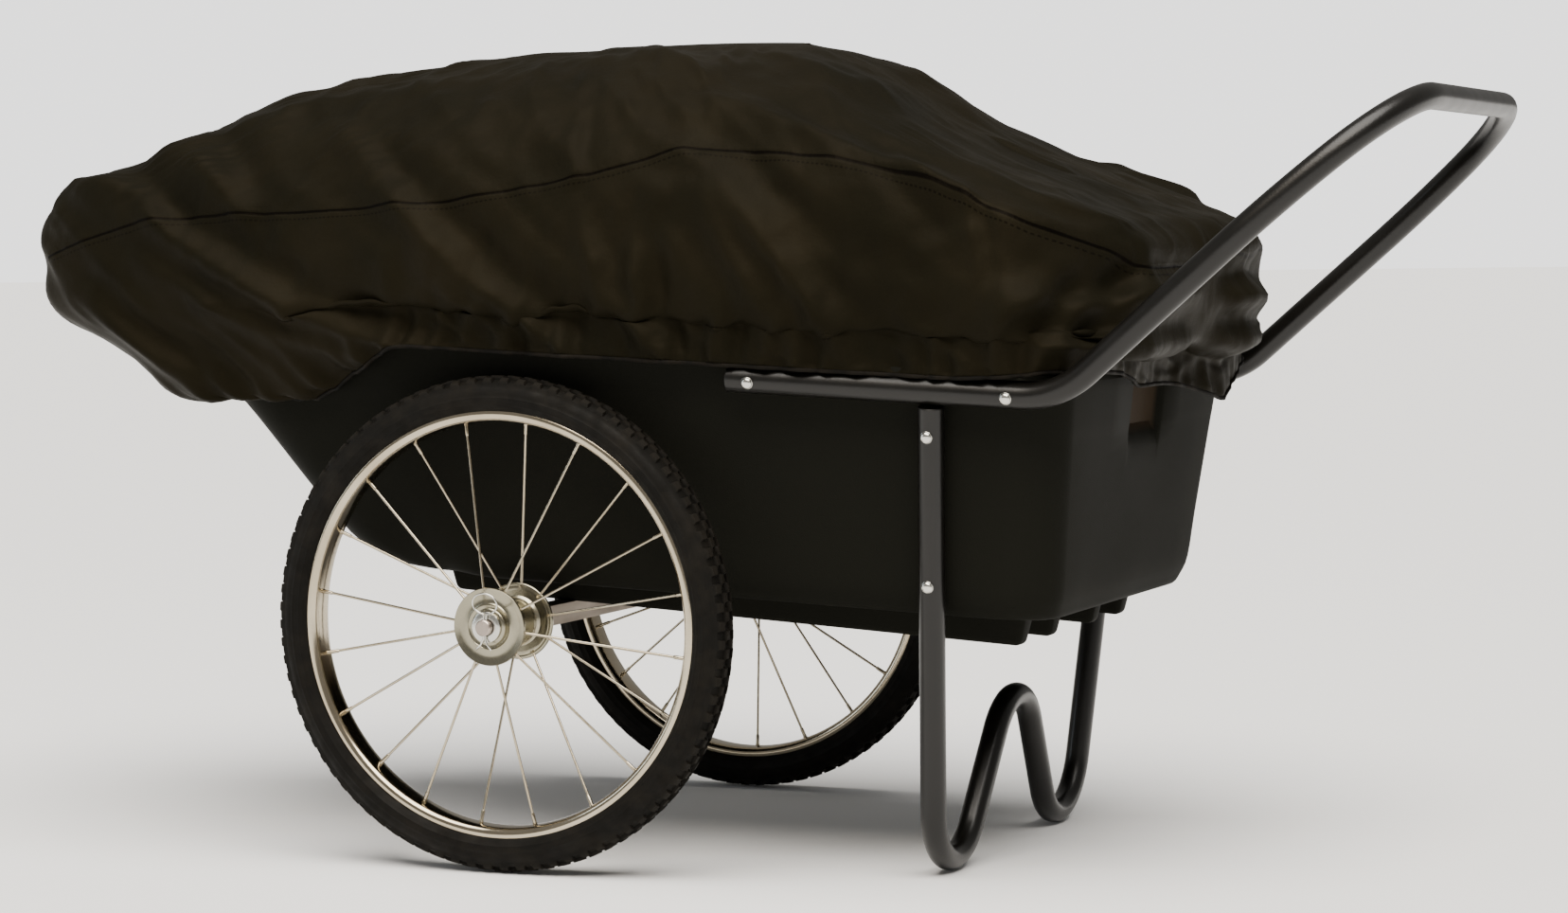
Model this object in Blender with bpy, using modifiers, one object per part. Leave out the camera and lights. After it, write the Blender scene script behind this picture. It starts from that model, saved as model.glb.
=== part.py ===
"""Two-wheel garden wheelbarrow: moulded tub, bent-tube handle and leg, spoked wheels, cloth cover.

Axes: +X towards the handle, -Y the right wheel, +Z up. The origin is on the ground under
the middle of the whole barrow. The tub, the handle and the axle beam hang on one empty that
leans back by TILT about the axle line; the leg and the cover are set out from the ground,
and each wheel hangs on an empty on its own axis.
"""

import math

import bmesh
import bpy
from mathutils import Matrix, Vector

# ---- driving dimensions, metres ----
AXLE_X = -0.1547
AXLE_Z = 0.242
TILT = math.radians(2.9)
GAP = 0.0003

TYRE_R = 0.242
TYRE_HALF = 0.0218
RIM_R = 0.2095
RIM_BED_R = 0.1976
RIM_HALF = 0.0157
WHEEL_Y = 0.3105
WHEEL_STEPS = 40

HUB_Y = 0.3065
FLANGE_R = 0.038
FLANGE_SIDE = 0.0308
BARREL_R = 0.020
BOSS_R = 0.018
BORE_R = 0.00845
SPOKE_R = 0.0013
SPOKES_A_SIDE = 10
SPOKE_PHASES = {"left": math.radians(92), "right": math.radians(100)}

ROD_R = 0.00795
ROD_END = 0.3535
PIN_Y = 0.3485
BEAM_HALF = 0.010
BEAM_WALL = 0.0015
BEAM_END = 0.2662
AXLE_BOLT_Y = 0.245
TUB_SCREW_Y = 0.159

TUBE_R = 0.0127
TUBE_WALL = 0.0015

HANDLE_Y = 0.2995
HANDLE_Z = 0.251
HANDLE_FRONT = 0.2276
HANDLE_BEND = 0.553
HANDLE_RISE = math.radians(43.95)
HANDLE_BEND_R = 0.09
ARM_STRAIGHT = 0.2077
ARM_CURVE_R = 0.35
ARM_CURVE = 0.35
GRIP_CORNER_R = 0.135
HANDLE_BOLTS = (("front", 0.2494, 0.0192), ("rear", 0.5067, 0.0208))

LEG_X = 0.4085
LEG_LEAN = 0.0687
LEG_Y = 0.2115
LEG_SPLAY = 0.1845
LEG_BEND_R = 0.0635
LEG_PEAK_Z = 0.151
LEG_TOP_Z = 0.454
LEG_BOLTS = (("lower", 0.288, 0.0184), ("upper", 0.430, 0.0184))

WALL = 0.004
DRAFT = math.atan(0.185)
FLOOR_Z = 0.033
RUNNERS_Y = (-0.159, -0.066, 0.066, 0.159)
RUNNER_FRONT = -0.128
RUNNER_REAR = 0.483
RUNNER_BOTTOM = 0.0105
RUNNER_SLOPE = 0.0155
RUNNER_HALF = 0.013
RIM_Z = 0.2685
LIP = 0.012
RECESS_HALF = 0.050
RECESS_DEPTH = 0.012

CLOTH = 0.0015
CLOTH_GAP = 0.0065
CORD_R = 0.0015
HEM_BAND = 0.010

SIDES = (("left", 1), ("right", -1))

for old in list(bpy.data.objects):
    bpy.data.objects.remove(old, do_unlink=True)

PARTS = bpy.data.collections.new("wheelbarrow")
CUTTERS = bpy.data.collections.new("cutters")
bpy.context.scene.collection.children.link(PARTS)
bpy.context.scene.collection.children.link(CUTTERS)


def empty(name, location, turn_y=0.0):
    obj = bpy.data.objects.new(name, None)
    obj.location = location
    obj.rotation_euler = (0, turn_y, 0)
    obj.empty_display_size = 0.05
    PARTS.objects.link(obj)
    return obj


GROUND = empty("ground_frame", (AXLE_X, 0, 0))
BODY = empty("body_frame", (AXLE_X, 0, AXLE_Z), TILT)
AXES = {name: empty(name + "_wheel_axis", (AXLE_X, sign * WHEEL_Y, AXLE_Z)) for name, sign in SIDES}


def material(name, colour, metallic, roughness):
    mat = bpy.data.materials.new(name)
    mat.use_nodes = True
    shader = mat.node_tree.nodes["Principled BSDF"]
    shader.inputs["Base Color"].default_value = (*colour, 1)
    shader.inputs["Metallic"].default_value = metallic
    shader.inputs["Roughness"].default_value = roughness
    mat.diffuse_color = (*colour, 1)
    return mat


BLACK_POLY = material("black_poly", (0.012, 0.012, 0.013), 0.0, 0.45)
COVER_CLOTH = material("cover_cloth", (0.020, 0.017, 0.010), 0.0, 0.5)
ELASTIC = material("elastic_cord", (0.015, 0.014, 0.012), 0.0, 0.8)
BLACK_PAINT = material("black_powder_coat", (0.010, 0.010, 0.010), 0.0, 0.3)
BLACK_PLUG = material("black_plug", (0.018, 0.018, 0.018), 0.0, 0.6)
RUBBER = material("tyre_rubber", (0.016, 0.015, 0.014), 0.0, 0.8)
BUTYL = material("butyl_tube", (0.010, 0.010, 0.010), 0.0, 0.7)
CHROME = material("bright_rim", (0.62, 0.60, 0.55), 1.0, 0.2)
ZINC = material("zinc_hub", (0.60, 0.60, 0.56), 1.0, 0.3)
STEEL = material("zinc_fastener", (0.55, 0.55, 0.52), 1.0, 0.35)
BEAM_STEEL = material("beam_steel", (0.24, 0.20, 0.17), 0.8, 0.5)
AXLE_STEEL = material("axle_steel", (0.45, 0.40, 0.36), 1.0, 0.35)
BUSH_STEEL = material("bush_steel", (0.50, 0.50, 0.47), 1.0, 0.3)


# ---- shared builders ----
def place(obj, parent, mat=None, location=(0, 0, 0), direction=None):
    """Hangs the object on its empty, with its own Z along the direction. No material: a cutter."""
    obj.parent = parent
    obj.location = location
    if direction is not None:
        obj.rotation_mode = "QUATERNION"
        obj.rotation_quaternion = Vector((0, 0, 1)).rotation_difference(Vector(direction))
    if mat is None:
        obj.hide_render = True
        obj.display_type = "WIRE"
        CUTTERS.objects.link(obj)
    else:
        obj.data.materials.append(mat)
        PARTS.objects.link(obj)
    return obj


def smooth(mesh, crease=35):
    for face in mesh.polygons:
        face.use_smooth = True
    mesh.set_sharp_from_angle(angle=math.radians(crease))


def turned(name, profile, steps, parent, mat, location=(0, 0, 0), direction=None, ring=True, rounded=True):
    """A (height, radius) profile with a Screw modifier: a closed ring section, or a solid
    whose profile starts and ends on the axis."""
    area = sum(a[1] * b[0] - b[1] * a[0] for a, b in zip(profile, profile[1:] + profile[:1]))
    if area > 0:
        profile = profile[::-1]
    mesh = bpy.data.meshes.new(name)
    count = len(profile)
    edges = [(i, (i + 1) % count) for i in range(count if ring else count - 1)]
    mesh.from_pydata([(r, 0, z) for z, r in profile], edges, [])
    obj = bpy.data.objects.new(name, mesh)
    screw = obj.modifiers.new("turn", "SCREW")
    screw.axis = "Z"
    screw.steps = steps
    screw.render_steps = steps
    screw.use_merge_vertices = True
    screw.merge_threshold = 0.00005
    screw.use_smooth_shade = rounded
    return place(obj, parent, mat, location, direction)


def both_sides(half):
    """A half section continued with its mirror image in height 0."""
    return list(half) + [(-z, r) for z, r in reversed(half)]


def cylinders(name, ends, radius, parent, mat=None, sides=12):
    """One mesh of separate cylinders, each from a start point to an end point."""
    work = bmesh.new()
    for start, end in ends:
        start = Vector(start)
        along = Vector(end) - start
        turn = Vector((0, 0, 1)).rotation_difference(along).to_matrix().to_4x4()
        bmesh.ops.create_cone(
            work, cap_ends=True, segments=sides, radius1=radius, radius2=radius,
            depth=along.length, matrix=Matrix.Translation(start + along / 2) @ turn,
        )
    mesh = bpy.data.meshes.new(name)
    work.to_mesh(mesh)
    work.free()
    smooth(mesh)
    return place(bpy.data.objects.new(name, mesh), parent, mat)


def blocks(name, boxes, parent, mat=None, taper=0.0, end_slope=0.0, fall=0.0):
    """One mesh of separate boxes, each (low corner, high corner). Their bottoms are narrower by
    the taper and the end slope, and fall towards +X."""
    work = bmesh.new()
    for low, high in boxes:
        made = bmesh.ops.create_cube(work, size=1)["verts"]
        for v in made:
            near_end = (1 if v.co.x > 0 else -1) * end_slope * (v.co.z < 0)
            in_side = (1 if v.co.y > 0 else -1) * taper * (v.co.z < 0)
            where = [low[k] + (v.co[k] + 0.5) * (high[k] - low[k]) for k in range(3)]
            down = fall * where[0] * (v.co.z < 0)
            v.co = Vector(where) - Vector((near_end, in_side, down))
    mesh = bpy.data.meshes.new(name)
    work.to_mesh(mesh)
    work.free()
    return place(bpy.data.objects.new(name, mesh), parent, mat)


def wire(name, points, radius, resolution, parent, mat, cyclic=False, tilt=0.0):
    """A round wire: a poly curve with a bevel depth and filled caps."""
    curve = bpy.data.curves.new(name, "CURVE")
    curve.dimensions = "3D"
    curve.bevel_depth = radius
    curve.bevel_resolution = resolution
    curve.use_fill_caps = not cyclic
    spline = curve.splines.new("POLY")
    spline.points.add(len(points) - 1)
    for point, co in zip(spline.points, points):
        point.co = (*co, 1)
        point.tilt = tilt
    spline.use_cyclic_u = cyclic
    return place(bpy.data.objects.new(name, curve), parent, mat)


def tube(name, points, resolution, parent, mat, tilt=0.0):
    """A hollow bent tube: an open poly curve with a bevel depth, made a mesh and given a wall."""
    source = wire(name + "_path", points, TUBE_R, resolution, parent, None, tilt=tilt)
    source.data.use_fill_caps = False
    bpy.context.view_layer.update()
    graph = bpy.context.evaluated_depsgraph_get()
    mesh = bpy.data.meshes.new_from_object(source.evaluated_get(graph))
    mesh.name = name
    bpy.data.objects.remove(source, do_unlink=True)
    smooth(mesh)
    obj = place(bpy.data.objects.new(name, mesh), parent, mat)
    wall = obj.modifiers.new("wall", "SOLIDIFY")
    wall.thickness = TUBE_WALL
    wall.offset = -1
    return obj


def boolean(obj, other, operation="DIFFERENCE"):
    step = obj.modifiers.new(operation.lower(), "BOOLEAN")
    step.operation = operation
    step.object = other
    step.solver = "EXACT"


def settle(obj):
    """Turns the object's modifiers into its mesh, as clean triangles for the next Boolean."""
    bpy.context.view_layer.update()
    graph = bpy.context.evaluated_depsgraph_get()
    mesh = bpy.data.meshes.new_from_object(obj.evaluated_get(graph))
    obj.modifiers.clear()
    work = bmesh.new()
    work.from_mesh(mesh)
    bmesh.ops.remove_doubles(work, verts=work.verts, dist=1e-5)
    bmesh.ops.dissolve_degenerate(work, edges=work.edges, dist=1e-5)
    bmesh.ops.triangulate(work, faces=work.faces)
    work.to_mesh(mesh)
    work.free()
    obj.data = mesh


def rounded_path(points, radius, steps):
    """A polyline with each inner corner replaced by an arc of the radius."""
    points = [Vector(p) for p in points]
    out = [points[0]]
    for before, corner, after in zip(points, points[1:], points[2:]):
        a = (before - corner).normalized()
        b = (after - corner).normalized()
        half = a.angle(b) / 2
        centre = corner + (a + b).normalized() * radius / math.sin(half)
        start = corner + a * radius / math.tan(half) - centre
        end = corner + b * radius / math.tan(half) - centre
        turn = start.angle(end)
        for i in range(steps + 1):
            t = i / steps
            mix = start * math.sin((1 - t) * turn) + end * math.sin(t * turn)
            out.append(centre + mix / math.sin(turn))
    out.append(points[-1])
    return out


def bolt(name, under_head, direction, length, parent, head=0.006, shank=0.003):
    """A dome-head bolt: the head stands on under_head and the shank runs along direction."""
    dome = [(-0.0050, 0.0), (-0.0047, head * 0.5), (-0.0030, head * 0.9), (0, head)]
    profile = dome + [(0, shank), (length, shank), (length, 0.0)]
    return turned(name, profile, 10, parent, STEEL, under_head, direction, ring=False, rounded=False)


def nut(name, seat, direction, parent, across=0.0055, hole=0.0033, thick=0.005):
    """A hexagon nut whose bearing face is at seat and whose body runs along direction."""
    corner = 1 / math.cos(math.pi / 6)
    profile = [(0, hole * corner), (thick, hole * corner), (thick, across * corner), (0, across * corner)]
    return turned(name, profile, 6, parent, STEEL, seat, direction, rounded=False)


# ---- tub ----
# Each level of the moulded wall, from the floor edge up: height at the sides and the rear,
# rear wall x, half-width, nose x, height at the nose.
LEVELS = [
    (FLOOR_Z, 0.514, 0.218, -0.168, FLOOR_Z),
    (0.036, 0.527, 0.2325, -0.196, 0.036),
    (0.046, 0.532, 0.2430, -0.222, 0.046),
    (0.064, 0.537, 0.2500, -0.250, 0.064),
    (0.110, 0.540, 0.2586, -0.292, 0.110),
    (0.204, 0.547, 0.2760, -0.362, 0.192),
    (0.214, 0.548, 0.2778, -0.384, 0.203),
    (0.242, 0.550, 0.2830, -0.462, 0.240),
    (RIM_Z, 0.552, 0.2879, -0.562, 0.293),
]
REAR_CORNER = 0.048
NOSE_CORNER = 0.080
NOSE_START = -0.06
NOSE_NARROW = 0.028
SIDE_STEPS = 7
CORNER_STEPS = 4


def ease(t):
    t = min(1.0, max(0.0, t))
    return t * t * (3 - 2 * t)


def corner_arc(x, y, radius, first):
    angles = [math.pi / 2 * (first + i / CORNER_STEPS) for i in range(CORNER_STEPS + 1)]
    return [(x + radius * math.cos(a), y + radius * math.sin(a)) for a in angles]


def outline(z, rear, half, nose, nose_z, grow=0.0, recess=0.0):
    """One level of the tub: a rounded rectangle that narrows and rises towards the nose."""
    nose_half = half - NOSE_NARROW
    top = half - REAR_CORNER
    side = [(rear - recess, 0.0), (rear - recess, RECESS_HALF)]
    side += [(rear, RECESS_HALF + 0.008), (rear, (RECESS_HALF + top) / 2)]
    side += corner_arc(rear - REAR_CORNER, top, REAR_CORNER, 0)
    start = rear - REAR_CORNER
    stop = nose + NOSE_CORNER
    for i in range(1, SIDE_STEPS):
        x = start + (stop - start) * i / SIDE_STEPS
        side.append((x, half - NOSE_NARROW * ease((NOSE_START - x) / (NOSE_START - stop))))
    side += corner_arc(stop, nose_half - NOSE_CORNER, NOSE_CORNER, 1)
    side.append((nose, 0.0))
    ring = side + [(x, -y) for x, y in reversed(side[1:-1])]
    points = []
    for i, (x, y) in enumerate(ring):
        along = (Vector(ring[(i + 1) % len(ring)]) - Vector(ring[i - 1])).normalized()
        up = ease((NOSE_START - x) / (NOSE_START - nose))
        points.append(Vector((x + along.y * grow, y - along.x * grow, z + (nose_z - z) * up)))
    return points


def loft(name, rings, parent, mat, thickness, top=None, crease=35):
    """A shell over rings of equal length. The first ring is closed by a flat floor, or the last
    one by a fan to the top point, and Solidify gives it the thickness on its inner side."""
    size = len(rings[0])
    verts = [p for ring in rings for p in ring]
    faces = []
    for a in range(0, (len(rings) - 1) * size, size):
        for k in range(size):
            n = (k + 1) % size
            faces.append((a + k, a + n, a + size + n, a + size + k))
    if top is None:
        faces.append(tuple(reversed(range(size))))
    else:
        last = len(verts) - size
        faces += [(last + k, last + (k + 1) % size, len(verts)) for k in range(size)]
        verts.append(Vector(top))
    mesh = bpy.data.meshes.new(name)
    mesh.from_pydata(verts, [], faces)
    smooth(mesh, crease)
    obj = place(bpy.data.objects.new(name, mesh), parent, mat)
    shell = obj.modifiers.new("shell", "SOLIDIFY")
    shell.thickness = thickness
    shell.offset = -1
    shell.use_even_offset = True
    return obj


def tub():
    rings = [outline(*level, recess=RECESS_DEPTH if level[0] > 0.21 else 0.0) for level in LEVELS]
    rings.append(outline(*LEVELS[-1], grow=LIP))
    rings.append([p - Vector((0, 0, 0.0035)) for p in rings[-1]])
    obj = loft("tub", rings, BODY, BLACK_POLY, WALL, crease=28)
    bars = []
    grooves = []
    inset = 0.016
    for y in RUNNERS_Y:
        half = RUNNER_HALF + 0.002
        bars.append(((RUNNER_FRONT, y - half, RUNNER_BOTTOM), (RUNNER_REAR + 0.006, y + half, 0.035)))
        half = RUNNER_HALF - 0.003
        low = RUNNER_BOTTOM + WALL
        grooves.append(((RUNNER_FRONT + inset, y - half, low), (RUNNER_REAR - inset, y + half, 0.045)))
    runner_bars = blocks("runner_bars", bars, BODY, taper=0.003, end_slope=0.006, fall=RUNNER_SLOPE)
    boolean(obj, runner_bars, "UNION")
    boolean(obj, blocks("runner_grooves", grooves, BODY, taper=0.002, end_slope=0.004))
    settle(obj)
    return obj


TUB = tub()


# ---- handle and leg ----
def handle_path():
    """The left half from the front end to the grip corner, then its mirror image."""
    rise = Vector((math.cos(HANDLE_RISE), 0, math.sin(HANDLE_RISE)))
    bend = Vector((HANDLE_BEND, HANDLE_Y, HANDLE_Z))
    corners = [(HANDLE_FRONT, HANDLE_Y, HANDLE_Z), bend, bend + rise * ARM_STRAIGHT]
    half = rounded_path(corners, HANDLE_BEND_R, 5)
    along = ARM_STRAIGHT
    inward = 0.0
    for radius, first, last, steps in (
        (ARM_CURVE_R, 0.0, ARM_CURVE, 3),
        (GRIP_CORNER_R, ARM_CURVE, math.pi / 2, 7),
    ):
        for i in range(1, steps + 1):
            a = first + (last - first) * i / steps
            s = along + radius * (math.sin(a) - math.sin(first))
            w = inward + radius * (math.cos(first) - math.cos(a))
            half.append(bend + rise * s - Vector((0, w, 0)))
        along = s
        inward = w
    return half + [Vector((p.x, -p.y, p.z)) for p in reversed(half)]


def leg_point(side, z):
    """The middle of the leg tube's upright at a height above the ground."""
    return Vector((LEG_X + LEG_LEAN * z, side * (LEG_Y + LEG_SPLAY * z), z))


def leg_path():
    """The bottoms of the two low bends rest on the ground."""
    low = TUBE_R + 0.0014 - 1.640 * LEG_BEND_R
    peak = LEG_PEAK_Z + 0.826 * LEG_BEND_R
    middle = Vector((LEG_X + LEG_LEAN * peak, 0, peak))
    left = [leg_point(1, LEG_TOP_Z), leg_point(1, low)]
    right = [leg_point(-1, low), leg_point(-1, LEG_TOP_Z)]
    return rounded_path(left + [middle] + right, LEG_BEND_R, 7)


HANDLE = tube("handle", handle_path(), 3, BODY, BLACK_PAINT, tilt=math.pi / 10)
LEG = tube("leg_stand", leg_path(), 3, GROUND, BLACK_PAINT)


def plug(name, end, direction, parent):
    body = [(-0.0120, 0.0), (-0.0120, 0.0098), (GAP, 0.0100)]
    head = [(GAP, 0.0124), (0.0018, 0.0124), (0.0028, 0.0108), (0.0028, 0.0)]
    turned(name, body + head, 10, parent, BLACK_PLUG, end, direction, ring=False, rounded=False)


handle_holes = []
leg_holes = []
for side, sign in SIDES:
    out = Vector((0, sign * math.cos(DRAFT), -math.sin(DRAFT)))
    plug(side + "_handle_plug", (HANDLE_FRONT, sign * HANDLE_Y, HANDLE_Z), (-1, 0, 0), BODY)
    up = (leg_point(sign, LEG_TOP_Z) - leg_point(sign, 0.4)).normalized()
    plug(side + "_leg_plug", leg_point(sign, LEG_TOP_Z), up, GROUND)
    for where, x, seat in HANDLE_BOLTS:
        centre = Vector((x, sign * HANDLE_Y, HANDLE_Z))
        bolt(f"{side}_{where}_handle_bolt", centre + out * (TUBE_R + GAP), -out, 0.0385, BODY)
        nut(f"{side}_{where}_handle_nut", centre - out * seat, -out, BODY)
        handle_holes.append((centre + out * 0.03, centre - out * 0.03))
    for where, z, seat in LEG_BOLTS:
        centre = leg_point(sign, z)
        bolt(f"{side}_{where}_leg_bolt", centre + out * (TUBE_R + GAP), -out, 0.0385, GROUND)
        nut(f"{side}_{where}_leg_nut", centre - out * seat, -out, GROUND)
        leg_holes.append((centre + out * 0.03, centre - out * 0.03))
HANDLE_HOLES = cylinders("handle_holes", handle_holes, 0.0036, BODY)
LEG_HOLES = cylinders("leg_holes", leg_holes, 0.0036, GROUND)
boolean(HANDLE, HANDLE_HOLES)
boolean(LEG, LEG_HOLES)
boolean(TUB, HANDLE_HOLES)
boolean(TUB, LEG_HOLES)

# ---- axle ----
beam = ((-BEAM_HALF, -BEAM_END, -BEAM_HALF), (BEAM_HALF, BEAM_END, BEAM_HALF))
inside = BEAM_HALF - BEAM_WALL
hollow = ((-inside, -BEAM_END - 0.01, -inside), (inside, BEAM_END + 0.01, inside))
BEAM = blocks("axle_beam", [beam], BODY, BEAM_STEEL)
ROD = cylinders("axle_rod", [((0, -ROD_END, 0), (0, ROD_END, 0))], ROD_R, BODY, AXLE_STEEL, 16)
through = [((0, s * AXLE_BOLT_Y, -0.03), (0, s * AXLE_BOLT_Y, 0.03)) for s in (-1, 1)]
down = [((0, s * TUB_SCREW_Y, -0.0008), (0, s * TUB_SCREW_Y, 0.03)) for s in (-1, 1)]
pins = [((0, s * PIN_Y, -0.03), (0, s * PIN_Y, 0.03)) for s in (-1, 1)]
AXLE_HOLES = cylinders("axle_holes", through, 0.0036, BODY)
SCREW_HOLES = cylinders("screw_holes", down, 0.0031, BODY)
boolean(BEAM, blocks("beam_hollow", [hollow], BODY))
for target in (BEAM, ROD):
    boolean(target, AXLE_HOLES)
    boolean(target, SCREW_HOLES)
boolean(ROD, cylinders("pin_holes", pins, 0.0024, BODY))
boolean(TUB, SCREW_HOLES)


def cotter(name, y):
    """A split pin: one wire with a ring above the rod and two ends bent apart below it."""
    offset = 0.00115
    loop = 0.0085
    top = 0.0150
    path = [(-offset * 6, -0.0205), (-offset, -0.0125), (-offset, top)]
    for i in range(1, 8):
        a = math.pi * (1.22 - 1.44 * i / 8)
        path.append((loop * math.cos(a), top + 0.0125 + loop * math.sin(a)))
    path += [(offset, top), (offset, -0.0125), (offset * 6, -0.0205)]
    wire(name, [(x, y, z) for x, z in path], 0.00085, 1, BODY, STEEL)


# ---- wheels ----
# Sections as (distance from the wheel's middle plane, radius), half of each.
TYRE = [
    (0.0080, 0.2375), (0.0178, 0.2210), (0.0098, 0.2040), (0.0136, 0.2040),
    (0.0139, 0.2105), (TYRE_HALF, 0.2190), (0.0212, 0.2330), (0.0100, TYRE_R),
]
INNER_TUBE = [(0.0060, 0.2355), (0.0112, 0.2290), (0.0135, 0.2185), (0.0045, 0.2065)]
RIM = [
    (0.0065, 0.1992), (0.0142, 0.2032), (0.0142, RIM_R),
    (RIM_HALF, RIM_R), (RIM_HALF, 0.2020), (0.0060, RIM_BED_R),
]
BARREL = [(0.0292, 0.0182), (0.0292, 0.0220), (0.0255, BARREL_R)]
PLATE = [
    (0.0296, 0.0134), (0.0314, 0.0134), (0.0314, 0.0328), (0.0330, 0.0350),
    (0.0330, FLANGE_R), (0.0286, FLANGE_R), (0.0286, 0.0350), (0.0296, 0.0336),
]
BUSH = [
    (0.0120, BORE_R), (0.0376, BORE_R), (0.0376, 0.0140), (0.0345, BOSS_R),
    (0.0318, BOSS_R), (0.0318, 0.0130), (0.0120, 0.0130),
]
WASHER = [(0.0380, BORE_R), (0.0396, BORE_R), (0.0396, 0.0150), (0.0380, 0.0150)]


def wheel(name, sign):
    axis = AXES[name]
    shift = sign * (HUB_Y - WHEEL_Y)
    across = (0, sign, 0)
    hub = (0, shift, 0)
    turned(name + "_tyre", both_sides(TYRE), WHEEL_STEPS, axis, RUBBER, direction=across)
    turned(name + "_inner_tube", both_sides(INNER_TUBE), 32, axis, BUTYL, direction=across)
    turned(name + "_rim", both_sides(RIM), WHEEL_STEPS, axis, CHROME, direction=across)
    turned(name + "_hub_barrel", both_sides(BARREL), 20, axis, ZINC, hub, across)
    for where, out, phase in (
        ("outer", sign, SPOKE_PHASES[name]),
        ("inner", -sign, SPOKE_PHASES[name] + math.pi / SPOKES_A_SIDE),
    ):
        outwards = (0, out, 0)
        flange = turned(f"{name}_{where}_flange", PLATE, 20, axis, ZINC, hub, outwards, rounded=False)
        spokes = []
        for k in range(SPOKES_A_SIDE):
            a = phase - 2 * math.pi * k / SPOKES_A_SIDE
            spoke = Vector((math.cos(a), 0, math.sin(a)))
            inner_end = spoke * 0.0350 + Vector((0, shift + out * FLANGE_SIDE, 0))
            outer_end = spoke * 0.1964 + Vector((0, out * 0.003, 0))
            spokes.append((inner_end, outer_end))
        boolean(flange, cylinders(f"{name}_{where}_spokes", spokes, SPOKE_R, axis, sides=6), "UNION")
        turned(f"{name}_{where}_bush", BUSH, 16, axis, BUSH_STEEL, hub, outwards)
        on_rod = (0, sign * HUB_Y, 0)
        turned(f"{name}_{where}_washer", WASHER, 16, BODY, STEEL, on_rod, outwards, rounded=False)
    cotter(name + "_cotter_pin", sign * PIN_Y)
    seat = BEAM_HALF + GAP
    bolt(name + "_axle_bolt", (0, sign * AXLE_BOLT_Y, -seat), (0, 0, 1), 0.0275, BODY)
    nut(name + "_axle_nut", (0, sign * AXLE_BOLT_Y, seat), (0, 0, 1), BODY)
    head = (0, sign * TUB_SCREW_Y, RUNNER_BOTTOM + WALL + GAP)
    bolt(name + "_tub_screw", head, (0, 0, -1), 0.0145, BODY, head=0.0058, shank=0.0026)


for side, sign in SIDES:
    wheel(side, sign)

# ---- cover ----
# Each level of the tented cloth above the hem: width as a share of the rim, height at the
# sides, front x and height, rear x and height, all above the ground, and how much narrower
# its rear end is.
TENT = [
    (1.015, 0.545, -0.577, 0.590, 0.625, 0.505, 0.12),
    (1.020, 0.605, -0.582, 0.640, 0.640, 0.560, 0.26),
    (0.965, 0.675, -0.548, 0.678, 0.630, 0.612, 0.28),
    (0.820, 0.735, -0.425, 0.720, 0.560, 0.645, 0.28),
    (0.560, 0.782, -0.320, 0.768, 0.400, 0.712, 0.12),
    (0.250, 0.807, -0.180, 0.795, 0.270, 0.790, 0.12),
]
TENT_MIDDLE = 0.10
TENT_TOP = (0.10, 0.0, 0.815)


def hem_line():
    """The hem, just outside the tub's rim: up over the handle bends, low behind the tub."""
    lean = Matrix.Translation((0, 0, AXLE_Z)) @ Matrix.Rotation(TILT, 4, "Y")
    hem = []
    for p in outline(*LEVELS[-1], grow=LIP + WALL + CLOTH_GAP - CLOTH):
        up = 0.006 * ease((p.x - 0.48) / 0.04) + 0.004 * ease((p.x - 0.52) / 0.02)
        down = 0.018 * ease((p.x - 0.555) / 0.012) * ease((0.20 - abs(p.y)) / 0.08)
        hem.append(lean @ Vector((p.x, p.y, p.z - 0.0033 + up - down)))
    return hem


def tent_level(hem, width, side_z, front, front_z, rear, rear_z, taper):
    low_x = min(p.x for p in hem)
    high_x = max(p.x for p in hem)
    ring = []
    for p in hem:
        x = front + (rear - front) * (p.x - low_x) / (high_x - low_x)
        end, end_z = (rear, rear_z) if x > TENT_MIDDLE else (front, front_z)
        share = ((x - TENT_MIDDLE) / (end - TENT_MIDDLE)) ** 2
        narrow = 1 - taper * ease((x - 0.51) / 0.09)
        ring.append(Vector((x, p.y * width * narrow, side_z + (end_z - side_z) * share)))
    return ring


HEM = hem_line()
tent = [HEM, [p + Vector((0, 0, HEM_BAND)) for p in HEM]] + [tent_level(HEM, *row) for row in TENT]
loft("cover", tent, GROUND, COVER_CLOTH, CLOTH, top=TENT_TOP, crease=80)
cord = [p - Vector((0, 0, CORD_R + 0.0006)) for p in HEM]
wire("cover_elastic", cord, CORD_R, 1, GROUND, ELASTIC, cyclic=True)
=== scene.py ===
"""The looks of the garden wheelbarrow: fine tub, tubes, wheels and fittings, and a draped cloth cover.

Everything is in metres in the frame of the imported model: +X towards the handle, -Y the right
wheel, +Z up. The tub, handle and axle lean back by TILT about the axle line, as in the design.
"""

import math

import bmesh
import bpy
import numpy as np
from mathutils import Matrix, Vector, noise


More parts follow.
